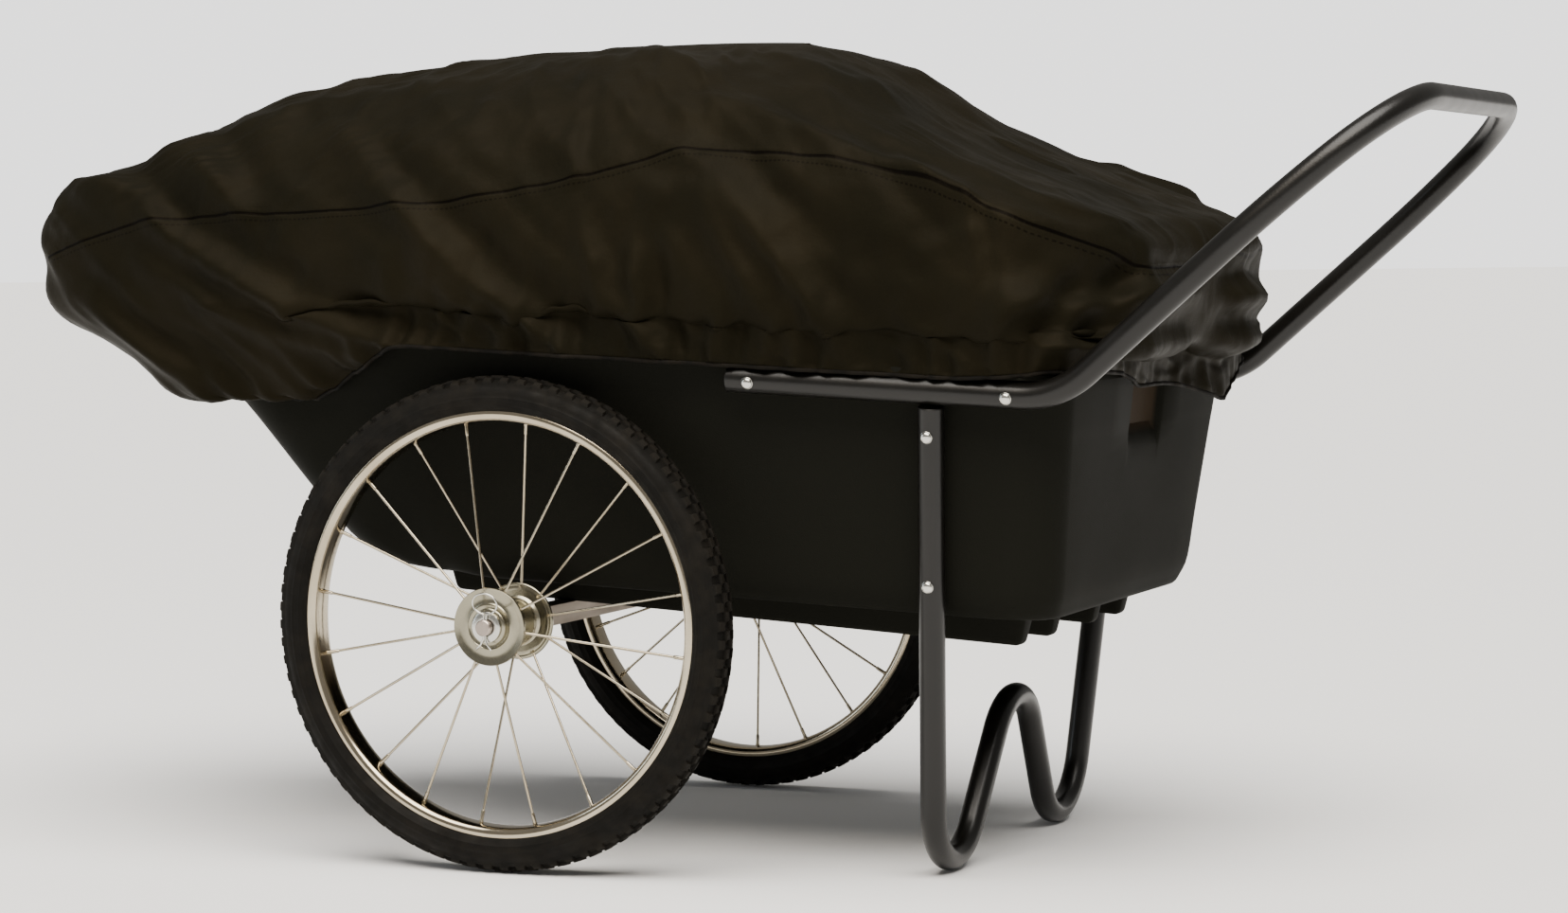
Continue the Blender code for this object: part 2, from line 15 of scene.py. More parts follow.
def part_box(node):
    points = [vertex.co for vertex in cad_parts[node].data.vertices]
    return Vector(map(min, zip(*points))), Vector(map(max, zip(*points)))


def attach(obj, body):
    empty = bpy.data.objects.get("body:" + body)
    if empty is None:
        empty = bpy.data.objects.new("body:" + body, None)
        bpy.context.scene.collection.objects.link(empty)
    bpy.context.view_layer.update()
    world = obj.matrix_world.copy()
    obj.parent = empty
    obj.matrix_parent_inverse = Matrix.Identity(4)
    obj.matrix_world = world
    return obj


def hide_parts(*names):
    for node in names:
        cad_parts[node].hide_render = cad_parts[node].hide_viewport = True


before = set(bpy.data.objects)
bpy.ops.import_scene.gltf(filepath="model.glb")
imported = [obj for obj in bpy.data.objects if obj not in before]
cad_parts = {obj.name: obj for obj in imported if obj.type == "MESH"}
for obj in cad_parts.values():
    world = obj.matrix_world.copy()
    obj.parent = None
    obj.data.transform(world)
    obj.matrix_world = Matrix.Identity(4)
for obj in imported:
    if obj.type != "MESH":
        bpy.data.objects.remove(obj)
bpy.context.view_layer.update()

# ---- sizes and places, from the frame where it gives them ----
tyre_low, tyre_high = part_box("right_tyre")
AXLE_X = (tyre_low.x + tyre_high.x) / 2
TYRE_R = (tyre_high.z - tyre_low.z) / 2
AXLE_Z = tyre_low.z + TYRE_R
WHEEL_Y = -(tyre_low.y + tyre_high.y) / 2
TILT = math.radians(2.9)
ROD_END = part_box("axle_rod")[1].y
HUB_Y = 0.3065
TUBE_R = 0.0127
SIDES = (("left", 1), ("right", -1))
SPOKE_PHASES = {1: math.radians(92), -1: math.radians(100)}

HANDLE_Y = 0.2995
HANDLE_Z = 0.251
HANDLE_FRONT = 0.2276
HANDLE_BEND = 0.553
HANDLE_RISE = math.radians(43.95)
HANDLE_BEND_R = 0.09
ARM_STRAIGHT = 0.2077
ARM_CURVE_R = 0.35
ARM_CURVE = 0.35
GRIP_CORNER_R = 0.135
HANDLE_BOLTS_X = {"front": 0.2494, "rear": 0.5067}

LEG_X = 0.4085
LEG_LEAN = 0.0687
LEG_Y = 0.2115
LEG_SPLAY = 0.1845
LEG_BEND_R = 0.0635
# How far the corners lie below the feet and above the middle bend, as shares of the bend radius.
FOOT_CORNER = 1.640
MIDDLE_CORNER = 0.826
LEG_PEAK_Z = 0.151
LEG_TOP_Z = 0.454
LEG_BOLTS_Z = {"lower": 0.288, "upper": 0.430}

WALL = 0.004
DRAFT = math.atan(0.185)
FLOOR_Z = 0.033
RUNNERS_Y = (-0.159, -0.066, 0.066, 0.159)
RUNNER_SLOPE = 0.0155
RIM_Z = 0.2685
LIP = 0.012

GROUND = Matrix.Translation((AXLE_X, 0, 0))
BODY = Matrix.Translation((AXLE_X, 0, AXLE_Z)) @ Matrix.Rotation(TILT, 4, "Y")


# ---- materials ----
class Shader:
    """A node material built up from a Principled BSDF."""

    def __init__(self, name, **values):
        self.material = bpy.data.materials.new(name)
        self.material.use_nodes = True
        self.tree = self.material.node_tree
        self.bsdf = self.tree.nodes["Principled BSDF"]
        for socket, value in values.items():
            self.bsdf.inputs[socket.replace("_", " ")].default_value = value
        self.normal = None
        coords = self.tree.nodes.new("ShaderNodeTexCoord")
        self.object = coords.outputs["Object"]

    def feed(self, value, socket):
        """Sets the socket to a number or a colour, or links an output to it."""
        if isinstance(value, (int, float)):
            socket.default_value = value
        elif isinstance(value, tuple):
            socket.default_value = (*value, 1)
        else:
            self.tree.links.new(value, socket)

    def texture(self, kind, output, vector=None, **values):
        """The output of a new texture node, in object space unless a vector is given."""
        node = self.tree.nodes.new("ShaderNode" + kind)
        for socket, value in values.items():
            node.inputs[socket].default_value = value
        self.feed(vector or self.object, node.inputs["Vector"])
        return node.outputs[output]

    def stretched(self, scale):
        return self.texture("Mapping", "Vector", Scale=scale)

    def noise(self, scale, detail=3.0, roughness=0.5, vector=None):
        values = {"Scale": scale, "Detail": detail, "Roughness": roughness}
        return self.texture("TexNoise", "Fac", vector, **values)

    def cells(self, scale):
        return self.texture("TexVoronoi", "Distance", Scale=scale)

    def waves(self, scale, direction):
        bands = self.texture("TexWave", "Fac", Scale=scale)
        bands.node.bands_direction = direction
        return bands

    def attribute(self, name):
        node = self.tree.nodes.new("ShaderNodeAttribute")
        node.attribute_name = name
        return node.outputs["Fac"]

    def spread(self, value, low, high, to_low=0.0, to_high=1.0):
        node = self.tree.nodes.new("ShaderNodeMapRange")
        for socket, number in zip(node.inputs, (value, low, high, to_low, to_high)):
            self.feed(number, socket)
        return node.outputs["Result"]

    def maths(self, operation, first, second):
        node = self.tree.nodes.new("ShaderNodeMath")
        node.operation = operation
        self.feed(first, node.inputs[0])
        self.feed(second, node.inputs[1])
        return node.outputs[0]

    def mix(self, factor, first, second):
        """Colours first to second by the factor; each is a colour or a socket."""
        node = self.tree.nodes.new("ShaderNodeMix")
        node.data_type = "RGBA"
        self.feed(factor, node.inputs[0])
        self.feed(first, node.inputs[6])
        self.feed(second, node.inputs[7])
        return node.outputs[2]

    def colour(self, source):
        self.feed(source, self.bsdf.inputs["Base Color"])

    def rough(self, value, low, high, to_low, to_high):
        self.feed(self.spread(value, low, high, to_low, to_high), self.bsdf.inputs["Roughness"])

    def bump(self, height, distance, strength=1.0):
        node = self.tree.nodes.new("ShaderNodeBump")
        node.inputs["Distance"].default_value = distance
        node.inputs["Strength"].default_value = strength
        self.feed(height, node.inputs["Height"])
        if self.normal:
            self.feed(self.normal, node.inputs["Normal"])
        self.normal = node.outputs["Normal"]
        self.feed(self.normal, self.bsdf.inputs["Normal"])


def cover_material():
    """Thin proofed nylon, dark olive brown, with a fine weave, soft creases and a stitched seam."""
    s = Shader("cover_nylon", IOR=1.12)
    s.bsdf.inputs["Specular Tint"].default_value = (0.80, 0.62, 0.40, 1)
    blotch = s.spread(s.noise(7, 4), 0.35, 0.65)
    base = s.mix(blotch, (0.0053, 0.0050, 0.0030), (0.0092, 0.0078, 0.0045))
    fine = s.spread(s.noise(900, 2), 0.3, 0.7)
    base = s.mix(s.maths("MULTIPLY", fine, 0.35), base, (0.0080, 0.0066, 0.0036))
    gap = s.attribute("seam")
    off_seam = s.maths("ABSOLUTE", gap, 0)
    sewn = s.spread(off_seam, 0.0009, 0.0017, 1.0, 0.0)
    stitch_gap = s.maths("ADD", gap, 0.0065)
    stitch = s.spread(s.maths("ABSOLUTE", stitch_gap, 0), 0.0004, 0.0009, 0.75, 0.0)
    dashes = s.spread(s.waves(62, "X"), 0.35, 0.45)
    line = s.maths("MAXIMUM", sewn, s.maths("MULTIPLY", stitch, dashes))
    s.colour(s.mix(line, base, (0.0012, 0.0010, 0.0008)))
    s.rough(s.noise(22, 5), 0.3, 0.7, 0.45, 0.56)
    s.bump(s.noise(34, 6, 0.62), 0.0022, 0.45)
    s.bump(s.noise(140, 3), 0.0004, 0.5)
    pucker = s.spread(off_seam, 0.0, 0.014, 1.0, 0.0)
    s.bump(s.maths("MULTIPLY", s.noise(110, 2), pucker), 0.0016, 0.7)
    s.bump(s.spread(off_seam, 0.0, 0.003), 0.0008, 0.8)
    warp = s.waves(420, "X")
    weft = s.waves(420, "Z")
    s.bump(s.maths("MULTIPLY", warp, weft), 0.00012, 0.6)
    return s.material


def elastic_material():
    s = Shader("elastic_hem", Roughness=0.75, IOR=1.2)
    cloud = s.spread(s.noise(60, 3), 0.4, 0.6)
    s.colour(s.mix(cloud, (0.0024, 0.0020, 0.0013), (0.0060, 0.0046, 0.0028)))
    s.bump(s.noise(260, 3), 0.0008, 0.8)
    return s.material


def poly_material():
    """Moulded polyethylene: fine pebble grain, faint flow marks and scuffs; the rear recess is painted
    paler, as painted light caught in it.
    """
    s = Shader("tub_poly", IOR=1.045)
    cloud = s.spread(s.noise(2.2, 2), 0.3, 0.7)
    base = s.mix(cloud, (0.0080, 0.0082, 0.0066), (0.0094, 0.0094, 0.0074))
    scuff = s.spread(s.noise(45, 6, 0.7, s.stretched((1, 1, 6))), 0.62, 0.78)
    base = s.mix(s.maths("MULTIPLY", scuff, 0.35), base, (0.0085, 0.0080, 0.0065))
    # The rear recess is painted a paler brown: painted light, standing in for the light the recess
    # catches.
    s.colour(s.mix(s.attribute("recess"), base, (0.030, 0.022, 0.015)))
    s.rough(s.noise(6, 3), 0.3, 0.7, 0.44, 0.50)
    s.bump(s.cells(900), 0.00022, 0.55)
    return s.material


def paint_material():
    """Black powder coat with a fine orange peel."""
    s = Shader("tube_powder_coat", IOR=1.38, Coat_Weight=0.08, Coat_Roughness=0.2)
    cloud = s.spread(s.noise(9, 3), 0.35, 0.65)
    s.colour(s.mix(cloud, (0.0026, 0.0024, 0.0019), (0.0036, 0.0032, 0.0025)))
    s.rough(s.noise(30, 3), 0.3, 0.7, 0.30, 0.36)
    s.bump(s.noise(420, 2), 0.00018, 0.6)
    return s.material


def rubber_material():
    """Black rubber, faintly brown, dusty between the tread blocks."""
    s = Shader("tyre_rubber", IOR=1.20)
    dust = s.spread(s.noise(30, 6, 0.65), 0.46, 0.72)
    base = s.mix(dust, (0.0034, 0.0030, 0.0022), (0.0080, 0.0066, 0.0046))
    worn = s.spread(s.attribute("tread"), 0.2, 1.0, 0.0, 0.55)
    s.colour(s.mix(worn, base, (0.0105, 0.0088, 0.0064)))
    s.rough(s.noise(70, 4), 0.3, 0.7, 0.55, 0.78)
    s.bump(s.noise(380, 4), 0.0003, 0.7)
    return s.material


def metal_material(name, dark, bright, rough, grain=(1, 1, 1), streak=160, bump=0.00002):
    """Bare or plated metal: a slow tone change, fine streaks and small marks."""
    s = Shader(name, Metallic=1.0)
    tone = s.spread(s.noise(14, 4), 0.3, 0.7)
    marks = s.spread(s.noise(420, 3, 0.6), 0.62, 0.78)
    marked = tuple(c * 0.55 for c in dark)
    s.colour(s.mix(s.maths("MULTIPLY", marks, 0.22), s.mix(tone, dark, bright), marked))
    streaks = s.noise(streak, 4, 0.6, s.stretched(grain))
    s.rough(streaks, 0.25, 0.75, *rough)
    s.bump(streaks, bump, 0.8)
    return s.material


def butyl_material():
    s = Shader("inner_tube_butyl", Roughness=0.6)
    cloud = s.spread(s.noise(40, 3), 0.4, 0.6)
    s.colour(s.mix(cloud, (0.008, 0.008, 0.008), (0.014, 0.014, 0.014)))
    return s.material


COVER = cover_material()
ELASTIC = elastic_material()
POLY = poly_material()
PAINT = paint_material()
RUBBER = rubber_material()
CHROME = metal_material("rim_plating", (0.42, 0.36, 0.26), (0.52, 0.46, 0.35), (0.10, 0.17))
SPOKE_WIRE = metal_material("spoke_wire", (0.36, 0.31, 0.22), (0.52, 0.46, 0.35), (0.14, 0.26))
ZINC = metal_material("hub_zinc", (0.27, 0.255, 0.19), (0.38, 0.35, 0.265), (0.18, 0.27))
FASTENER = metal_material("fastener_zinc", (0.50, 0.50, 0.46), (0.72, 0.71, 0.66), (0.14, 0.30))
BEAM_STEEL = metal_material(
    "beam_steel", (0.16, 0.13, 0.10), (0.28, 0.235, 0.19), (0.34, 0.55), (1, 0.06, 1), 120, 0.0003
)
AXLE_STEEL = metal_material(
    "axle_steel", (0.34, 0.28, 0.24), (0.52, 0.45, 0.40), (0.22, 0.42), (9, 1, 9), 60, 0.0002
)
BUTYL = butyl_material()

# ---- shared builders ----
PIECES = bpy.data.collections.new("wheelbarrow_looks")
bpy.context.scene.collection.children.link(PIECES)


def new_object(name, mesh, place=None):
    obj = bpy.data.objects.new(name, mesh)
    if place is not None:
        obj.matrix_world = place
    PIECES.objects.link(obj)
    return obj


def finish_piece(obj, mat, body, *replaced, crease=40):
    """Shades the piece, gives it its material, hides the parts it replaces, and lets it ride on its
    body.
    """
    if obj.type == "MESH":
        for face in obj.data.polygons:
            face.use_smooth = True
        if crease:
            obj.data.set_sharp_from_angle(angle=math.radians(crease))
    obj.data.materials.clear()
    obj.data.materials.append(mat)
    if replaced:
        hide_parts(*replaced)
    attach(obj, body)


def add_piece(name, mesh, place, *how, **options):
    finish_piece(new_object(name, mesh, place), *how, **options)


def evaluated_mesh(obj, name):
    """The object's mesh with its modifiers, as new mesh data; the object is removed."""
    bpy.context.view_layer.update()
    graph = bpy.context.evaluated_depsgraph_get()
    mesh = bpy.data.meshes.new_from_object(obj.evaluated_get(graph))
    mesh.name = name
    bpy.data.objects.remove(obj, do_unlink=True)
    return mesh


def tube_mesh(name, points, radius, resolution=8, cyclic=False, radii=None):
    """A round tube or wire along the points, from a curve with a bevel depth."""
    curve = bpy.data.curves.new(name + "_line", "CURVE")
    curve.dimensions = "3D"
    curve.bevel_depth = radius
    curve.bevel_resolution = resolution
    curve.use_fill_caps = not cyclic
    spline = curve.splines.new("POLY")
    spline.points.add(len(points) - 1)
    for i, (point, co) in enumerate(zip(spline.points, points)):
        point.co = (*co, 1)
        point.radius = radii[i] if radii else 1.0
    spline.use_cyclic_u = cyclic
    mesh = evaluated_mesh(new_object(name + "_line", curve), name)
    weld(mesh, 1e-5)
    return mesh


def weld(mesh, distance=None):
    """Merges points within the distance, if there is one, and turns the faces outwards."""
    work = bmesh.new()
    work.from_mesh(mesh)
    if distance:
        bmesh.ops.remove_doubles(work, verts=work.verts, dist=distance)
    bmesh.ops.recalc_face_normals(work, faces=work.faces)
    work.to_mesh(mesh)
    work.free()


def section_faces(count, rows, closed):
    """Faces between count sections of rows points each, which follow each other round a circle."""
    faces = []
    for i in range(count):
        this, after = i * rows, (i + 1) % count * rows
        for k in range(rows if closed else rows - 1):
            n = (k + 1) % rows
            faces.append((this + k, after + k, after + n, this + n))
    return faces


def turned_mesh(name, profile, steps, closed=False):
    """Turns a (height, radius) profile about Z."""
    verts = []
    for i in range(steps):
        a = 2 * math.pi * i / steps
        verts += [(r * math.cos(a), r * math.sin(a), z) for z, r in profile]
    mesh = bpy.data.meshes.new(name)
    mesh.from_pydata(verts, [], section_faces(steps, len(profile), closed))
    weld(mesh, 1e-6)
    return mesh


def joined(name, *meshes):
    work = bmesh.new()
    for mesh in meshes:
        work.from_mesh(mesh)
        bpy.data.meshes.remove(mesh)
    out = bpy.data.meshes.new(name)
    work.to_mesh(out)
    work.free()
    return out


def aimed(location, direction):
    """Placement whose own Z runs along the direction."""
    turn = Vector((0, 0, 1)).rotation_difference(Vector(direction)).to_matrix().to_4x4()
    return Matrix.Translation(location) @ turn


def arc(centre, radius, first, last, steps):
    """(height, radius) points along an arc, angles in degrees from the height axis."""
    z, r = centre
    angles = [math.radians(first + (last - first) * i / steps) for i in range(steps + 1)]
    return [(z + radius * math.cos(a), r + radius * math.sin(a)) for a in angles]


def rounded_path(points, radius, steps):
    points = [Vector(p) for p in points]
    out = [points[0]]
    for before, corner, after in zip(points, points[1:], points[2:]):
        a = (before - corner).normalized()
        b = (after - corner).normalized()
        half = a.angle(b) / 2
        centre = corner + (a + b).normalized() * radius / math.sin(half)
        start = corner + a * radius / math.tan(half) - centre
        end = corner + b * radius / math.tan(half) - centre
        turn = start.angle(end)
        for i in range(steps + 1):
            t = i / steps
            mix = start * math.sin((1 - t) * turn) + end * math.sin(t * turn)
            out.append(centre + mix / math.sin(turn))
    out.append(points[-1])
    return out


def ease(t):
    t = min(1.0, max(0.0, t))
    return t * t * (3 - 2 * t)


# ---- tub outline, as in the design ----
LEVELS = [
    (FLOOR_Z, 0.514, 0.218, -0.168, FLOOR_Z),
    (0.036, 0.527, 0.2325, -0.196, 0.036),
    (0.046, 0.532, 0.2430, -0.222, 0.046),
    (0.064, 0.537, 0.2500, -0.250, 0.064),
    (0.110, 0.540, 0.2586, -0.292, 0.110),
    (0.204, 0.547, 0.2760, -0.362, 0.192),
    (0.214, 0.548, 0.2778, -0.384, 0.203),
    (0.242, 0.550, 0.2830, -0.462, 0.240),
    (RIM_Z, 0.552, 0.2879, -0.562, 0.293),
]
REAR_CORNER = 0.048
NOSE_CORNER = 0.080
NOSE_START = -0.06
NOSE_NARROW = 0.028
RECESS_HALF = 0.050
RECESS_DEPTH = 0.012
RECESS_FOOT = 0.200
# Rings of the rolled lip: how far out and how far down each lies from the tub's top.
LIP_ROLL = [
    (0.0015, -0.0012), (0.004, -0.0018), (LIP * 0.75, -0.0016), (LIP, 0.0), (LIP + 0.0006, 0.0035),
]
RUNNER_LOW = (-0.128, -0.015, 0.0105)
RUNNER_HIGH = (0.489, 0.015, 0.0345)
RUNNER_MIDDLE_Z = 0.02


def corner_arc(x, y, radius, first, steps):
    angles = [math.pi / 2 * (first + i / steps) for i in range(steps + 1)]
    return [(x + radius * math.cos(a), y + radius * math.sin(a)) for a in angles]


def outline(z, rear, half, nose, nose_z, grow=0.0, recess=0.0, sides=20, corners=10):
    """One level of the tub: a rounded rectangle that narrows and rises towards the nose."""
    nose_half = half - NOSE_NARROW
    top = half - REAR_CORNER
    soft = 0.006
    side = [(rear - recess, y) for y in (0.0, 0.015, 0.030, RECESS_HALF - soft)]
    for t in (0.25, 0.5, 0.75):
        side.append((rear - recess * (1 - ease(t)), RECESS_HALF - soft + t * 2 * soft))
    side += [(rear, RECESS_HALF + soft + (top - RECESS_HALF - soft) * t) for t in (0, 0.33, 0.66)]
    side += corner_arc(rear - REAR_CORNER, top, REAR_CORNER, 0, corners)
    start = rear - REAR_CORNER
    stop = nose + NOSE_CORNER
    for i in range(1, sides):
        x = start + (stop - start) * i / sides
        side.append((x, half - NOSE_NARROW * ease((NOSE_START - x) / (NOSE_START - stop))))
    side += corner_arc(stop, nose_half - NOSE_CORNER, NOSE_CORNER, 1, corners)
    side += [(nose, (nose_half - NOSE_CORNER) * t) for t in (0.66, 0.33, 0.0)]
    ring = side + [(x, -y) for x, y in reversed(side[1:-1])]
    points = []
    for i, (x, y) in enumerate(ring):
        along = (Vector(ring[(i + 1) % len(ring)]) - Vector(ring[i - 1])).normalized()
        up = ease((NOSE_START - x) / (NOSE_START - nose))
        points.append(Vector((x + along.y * grow, y - along.x * grow, z + (nose_z - z) * up)))
    return points


def between(levels, steps):
    """The levels with smooth in-between rows by a Catmull-Rom curve through each column."""
    rows = []
    for i in range(len(levels) - 1):
        a, b = np.array(levels[i]), np.array(levels[i + 1])
        before = np.array(levels[i - 1]) if i else 2 * a - b
        after = np.array(levels[i + 2]) if i + 2 < len(levels) else 2 * b - a
        count = steps[i] if isinstance(steps, (list, tuple)) else steps
        for k in range(count):
            t = k / count
            rows.append(tuple(
                0.5 * (2 * a + (b - before) * t + (2 * before - 5 * a + 4 * b - after) * t**2
                       + (3 * a - before - 3 * b + after) * t**3)
            ))
    rows.append(tuple(levels[-1]))
    return rows


def grid_mesh(name, rows, floor=False):
    """The skin over closed rows of points, with the first one filled if there's a floor."""
    size = len(rows[0])
    faces = []
    for a in range(0, (len(rows) - 1) * size, size):
        for k in range(size):
            n = (k + 1) % size
            faces.append((a + k, a + n, a + size + n, a + size + k))
    if floor:
        faces.append(tuple(reversed(range(size))))
    mesh = bpy.data.meshes.new(name)
    mesh.from_pydata([tuple(p) for row in rows for p in row], [], faces)
    return mesh


def tub_piece():
    rows = between(LEVELS, [3, 3, 3, 3, 5, 2, 3, 3])
    rings = [outline(*row, recess=RECESS_DEPTH * ease((row[0] - RECESS_FOOT) / 0.010)) for row in rows]
    lip = []
    for grow, drop in LIP_ROLL:
        lip.append([p - Vector((0, 0, drop)) for p in outline(*LEVELS[-1], grow=grow)])
    obj = new_object("tub_shell", grid_mesh("tub_shell", rings + lip, floor=True), BODY)
    shell = obj.modifiers.new("shell", "SOLIDIFY")
    shell.thickness = WALL
    shell.offset = -1
    shell.use_even_offset = True
    bars = bmesh.new()
    for y in RUNNERS_Y:
        low = Vector((0, y, 0)) + Vector(RUNNER_LOW)
        high = Vector((0, y, 0)) + Vector(RUNNER_HIGH)
        made = bmesh.ops.create_cube(bars, size=1)["verts"]
        for v in made:
            out = Vector((math.copysign(0.006, v.co.x), math.copysign(0.003, v.co.y), 0))
            v.co = Vector([low[k] + (v.co[k] + 0.5) * (high[k] - low[k]) for k in range(3)])
            if v.co.z < RUNNER_MIDDLE_Z:
                out.z = RUNNER_SLOPE * v.co.x
                v.co -= out
    edges = []
    for edge in bars.edges:
        heights = [v.co.z for v in edge.verts]
        if min(heights) < RUNNER_MIDDLE_Z or max(heights) - min(heights) > 0.01:
            edges.append(edge)
    bmesh.ops.bevel(bars, geom=edges, offset=0.0055, segments=4, profile=0.5, affect="EDGES")
    mesh = bpy.data.meshes.new("tub_runners")
    bars.to_mesh(mesh)
    bars.free()
    runners = new_object("tub_runners", mesh, BODY)
    step = obj.modifiers.new("runners", "BOOLEAN")
    step.operation = "UNION"
    step.object = runners
    step.solver = "EXACT"
    done = evaluated_mesh(obj, "tub_shell")
    bpy.data.objects.remove(runners, do_unlink=True)
    # Marks the inside of the rear recess, which the tub's material paints paler as painted light.
    recess_painted_light = []
    for v in done.vertices:
        inside = v.co.x > 0.5 and abs(v.co.y) < RECESS_HALF - 0.003 and v.co.z > 0.213
        recess_painted_light.append(float(inside))
    done.attributes.new("recess", "FLOAT", "POINT").data.foreach_set("value", recess_painted_light)
    add_piece("tub_shell", done, BODY, POLY, "frame", "tub", crease=32)


tub_piece()


# ---- handle, leg and their fittings ----
def handle_path():
    rise = Vector((math.cos(HANDLE_RISE), 0, math.sin(HANDLE_RISE)))
    bend = Vector((HANDLE_BEND, HANDLE_Y, HANDLE_Z))
    corners = [(HANDLE_FRONT, HANDLE_Y, HANDLE_Z), bend, bend + rise * ARM_STRAIGHT]
    half = rounded_path(corners, HANDLE_BEND_R, 18)
    along = ARM_STRAIGHT
    inward = 0.0
    for radius, first, last, steps in (
        (ARM_CURVE_R, 0.0, ARM_CURVE, 10),
        (GRIP_CORNER_R, ARM_CURVE, math.pi / 2, 24),
    ):
        for i in range(1, steps + 1):
            a = first + (last - first) * i / steps
            s = along + radius * (math.sin(a) - math.sin(first))
            w = inward + radius * (math.cos(first) - math.cos(a))
            half.append(bend + rise * s - Vector((0, w, 0)))
        along = s
        inward = w
    return half + [Vector((p.x, -p.y, p.z)) for p in reversed(half)]


def leg_point(side, z):
    return Vector((LEG_X + LEG_LEAN * z, side * (LEG_Y + LEG_SPLAY * z), z))


def leg_path():
    low = TUBE_R + 0.0014 - FOOT_CORNER * LEG_BEND_R
    peak = LEG_PEAK_Z + MIDDLE_CORNER * LEG_BEND_R
    middle = Vector((LEG_X + LEG_LEAN * peak, 0, peak))
    left = [leg_point(1, LEG_TOP_Z), leg_point(1, low)]
    right = [leg_point(-1, low), leg_point(-1, LEG_TOP_Z)]
    return rounded_path(left + [middle] + right, LEG_BEND_R, 24)


handle = tube_mesh("handle_tube", handle_path(), TUBE_R, 10)
add_piece("handle_tube", handle, BODY, PAINT, "frame", "handle", crease=60)
leg = tube_mesh("leg_tube", leg_path(), TUBE_R - 0.0002, 10)
add_piece("leg_tube", leg, GROUND, PAINT, "frame", "leg_stand", crease=60)


def plug_mesh(name):
    profile = [(-0.001, 0.0), (-0.001, 0.0116), (0.0, TUBE_R - 0.0002)]
    profile += arc((0.0012, TUBE_R - 0.0014), 0.0012, 90, 0, 5) + [(0.0024, 0.004), (0.0027, 0.0)]
    return turned_mesh(name, profile, 40)


def bolt_piece(name, place, head=0.0060, length=0.010):
    """A dome head with a rolled edge, on a short shank that points along the place's own Z."""
    profile = [(length, 0.0), (length, 0.003), (0.0, 0.003), (0.0, head)]
    profile += arc((-0.0009, head - 0.0006), 0.0006, 45, 180, 4)
    height = 0.0042
    for i in range(1, 10):
        a = i / 10 * math.pi / 2
        profile.append((-0.0015 - height * math.sin(a) * 0.8, head * 0.93 * math.cos(a)))
    profile.append((-0.0015 - height * 0.8, 0.0))
    add_piece(name + "_dome", turned_mesh(name, profile, 36), place, FASTENER, "frame", name)


for side, sign in SIDES:
    out = Vector((0, sign * math.cos(DRAFT), -math.sin(DRAFT)))
    handle_end = Vector((HANDLE_FRONT, sign * HANDLE_Y, HANDLE_Z))
    name = side + "_handle_plug"
    place = BODY @ aimed(handle_end, (-1, 0, 0))
    add_piece(name + "_cap", plug_mesh(name), place, PAINT, "frame", name)
    up = (leg_point(sign, LEG_TOP_Z) - leg_point(sign, 0.4)).normalized()
    name = side + "_leg_plug"
    place = GROUND @ aimed(leg_point(sign, LEG_TOP_Z), up)
    add_piece(name + "_cap", plug_mesh(name), place, PAINT, "frame", name)
    for where, x in HANDLE_BOLTS_X.items():
        centre = Vector((x, sign * HANDLE_Y, HANDLE_Z))
        bolt_piece(f"{side}_{where}_handle_bolt", BODY @ aimed(centre + out * TUBE_R, -out))
    for where, z in LEG_BOLTS_Z.items():
        centre = leg_point(sign, z)
        bolt_piece(f"{side}_{where}_leg_bolt", GROUND @ aimed(centre + out * TUBE_R, -out))

# ---- axle ----
half_rod = [(ROD_END - 0.0011, 0.0079), (ROD_END, 0.0068), (ROD_END, 0.0)]
rod = turned_mesh("axle_shaft", [(-z, r) for z, r in reversed(half_rod)] + half_rod, 48)
place = BODY @ Matrix.Rotation(-math.pi / 2, 4, "X")
add_piece("axle_shaft", rod, place, AXLE_STEEL, "frame", "axle_rod")


def cotter_piece(side, sign):
    """A split pin: a wide ring above the axle, two legs through it and two bent ends below."""
    half = 0.00115
    loop = 0.0130
    top = 0.0150
    gap = 0.16
    y = sign * (ROD_END - 0.0050)
    leg = [(7 * half, -0.0215), (3 * half, -0.0165), (half, -0.0115), (half, 0.0), (half, top - 0.004)]
    path = [(-x, z) for x, z in leg]
    for i in range(25):
        a = -math.pi / 2 - gap - (2 * math.pi - 2 * gap) * i / 24
        path.append((loop * math.cos(a), top + loop * (1 + math.sin(a)) * 0.78 - 0.002))
    path += reversed(leg)
    lean = 0.0035
    points = [(x, y + sign * lean * ease((z - 0.010) / 0.03), z) for x, z in path]
    name = side + "_split_pin"
    pin = tube_mesh(name, points, 0.00095, 5)
    add_piece(name, pin, BODY, FASTENER, "frame", side + "_cotter_pin", crease=0)


# ---- wheels ----
TREAD_PITCHES = 84
TREAD_HEIGHT = 0.0032
TREAD_R = 0.242
TREAD_HALF = 0.0158
SIDEWALL_HALF = 0.0206
SIDEWALL_R = 0.2205
SIDEWALL_RISE = 0.0172
BEAD_HALF = 0.0120
BEAD_R = 0.2065
# Where the spokes meet the flange and the rim: radius, and distance from the wheel's middle plane.
LACED_AT = (0.0352, 0.0300)
SEATED_AT = (0.1985, 0.0028)
WIRE_R = 0.0013
NIPPLE_R = 0.0019
NIPPLE_LENGTH = 0.0130


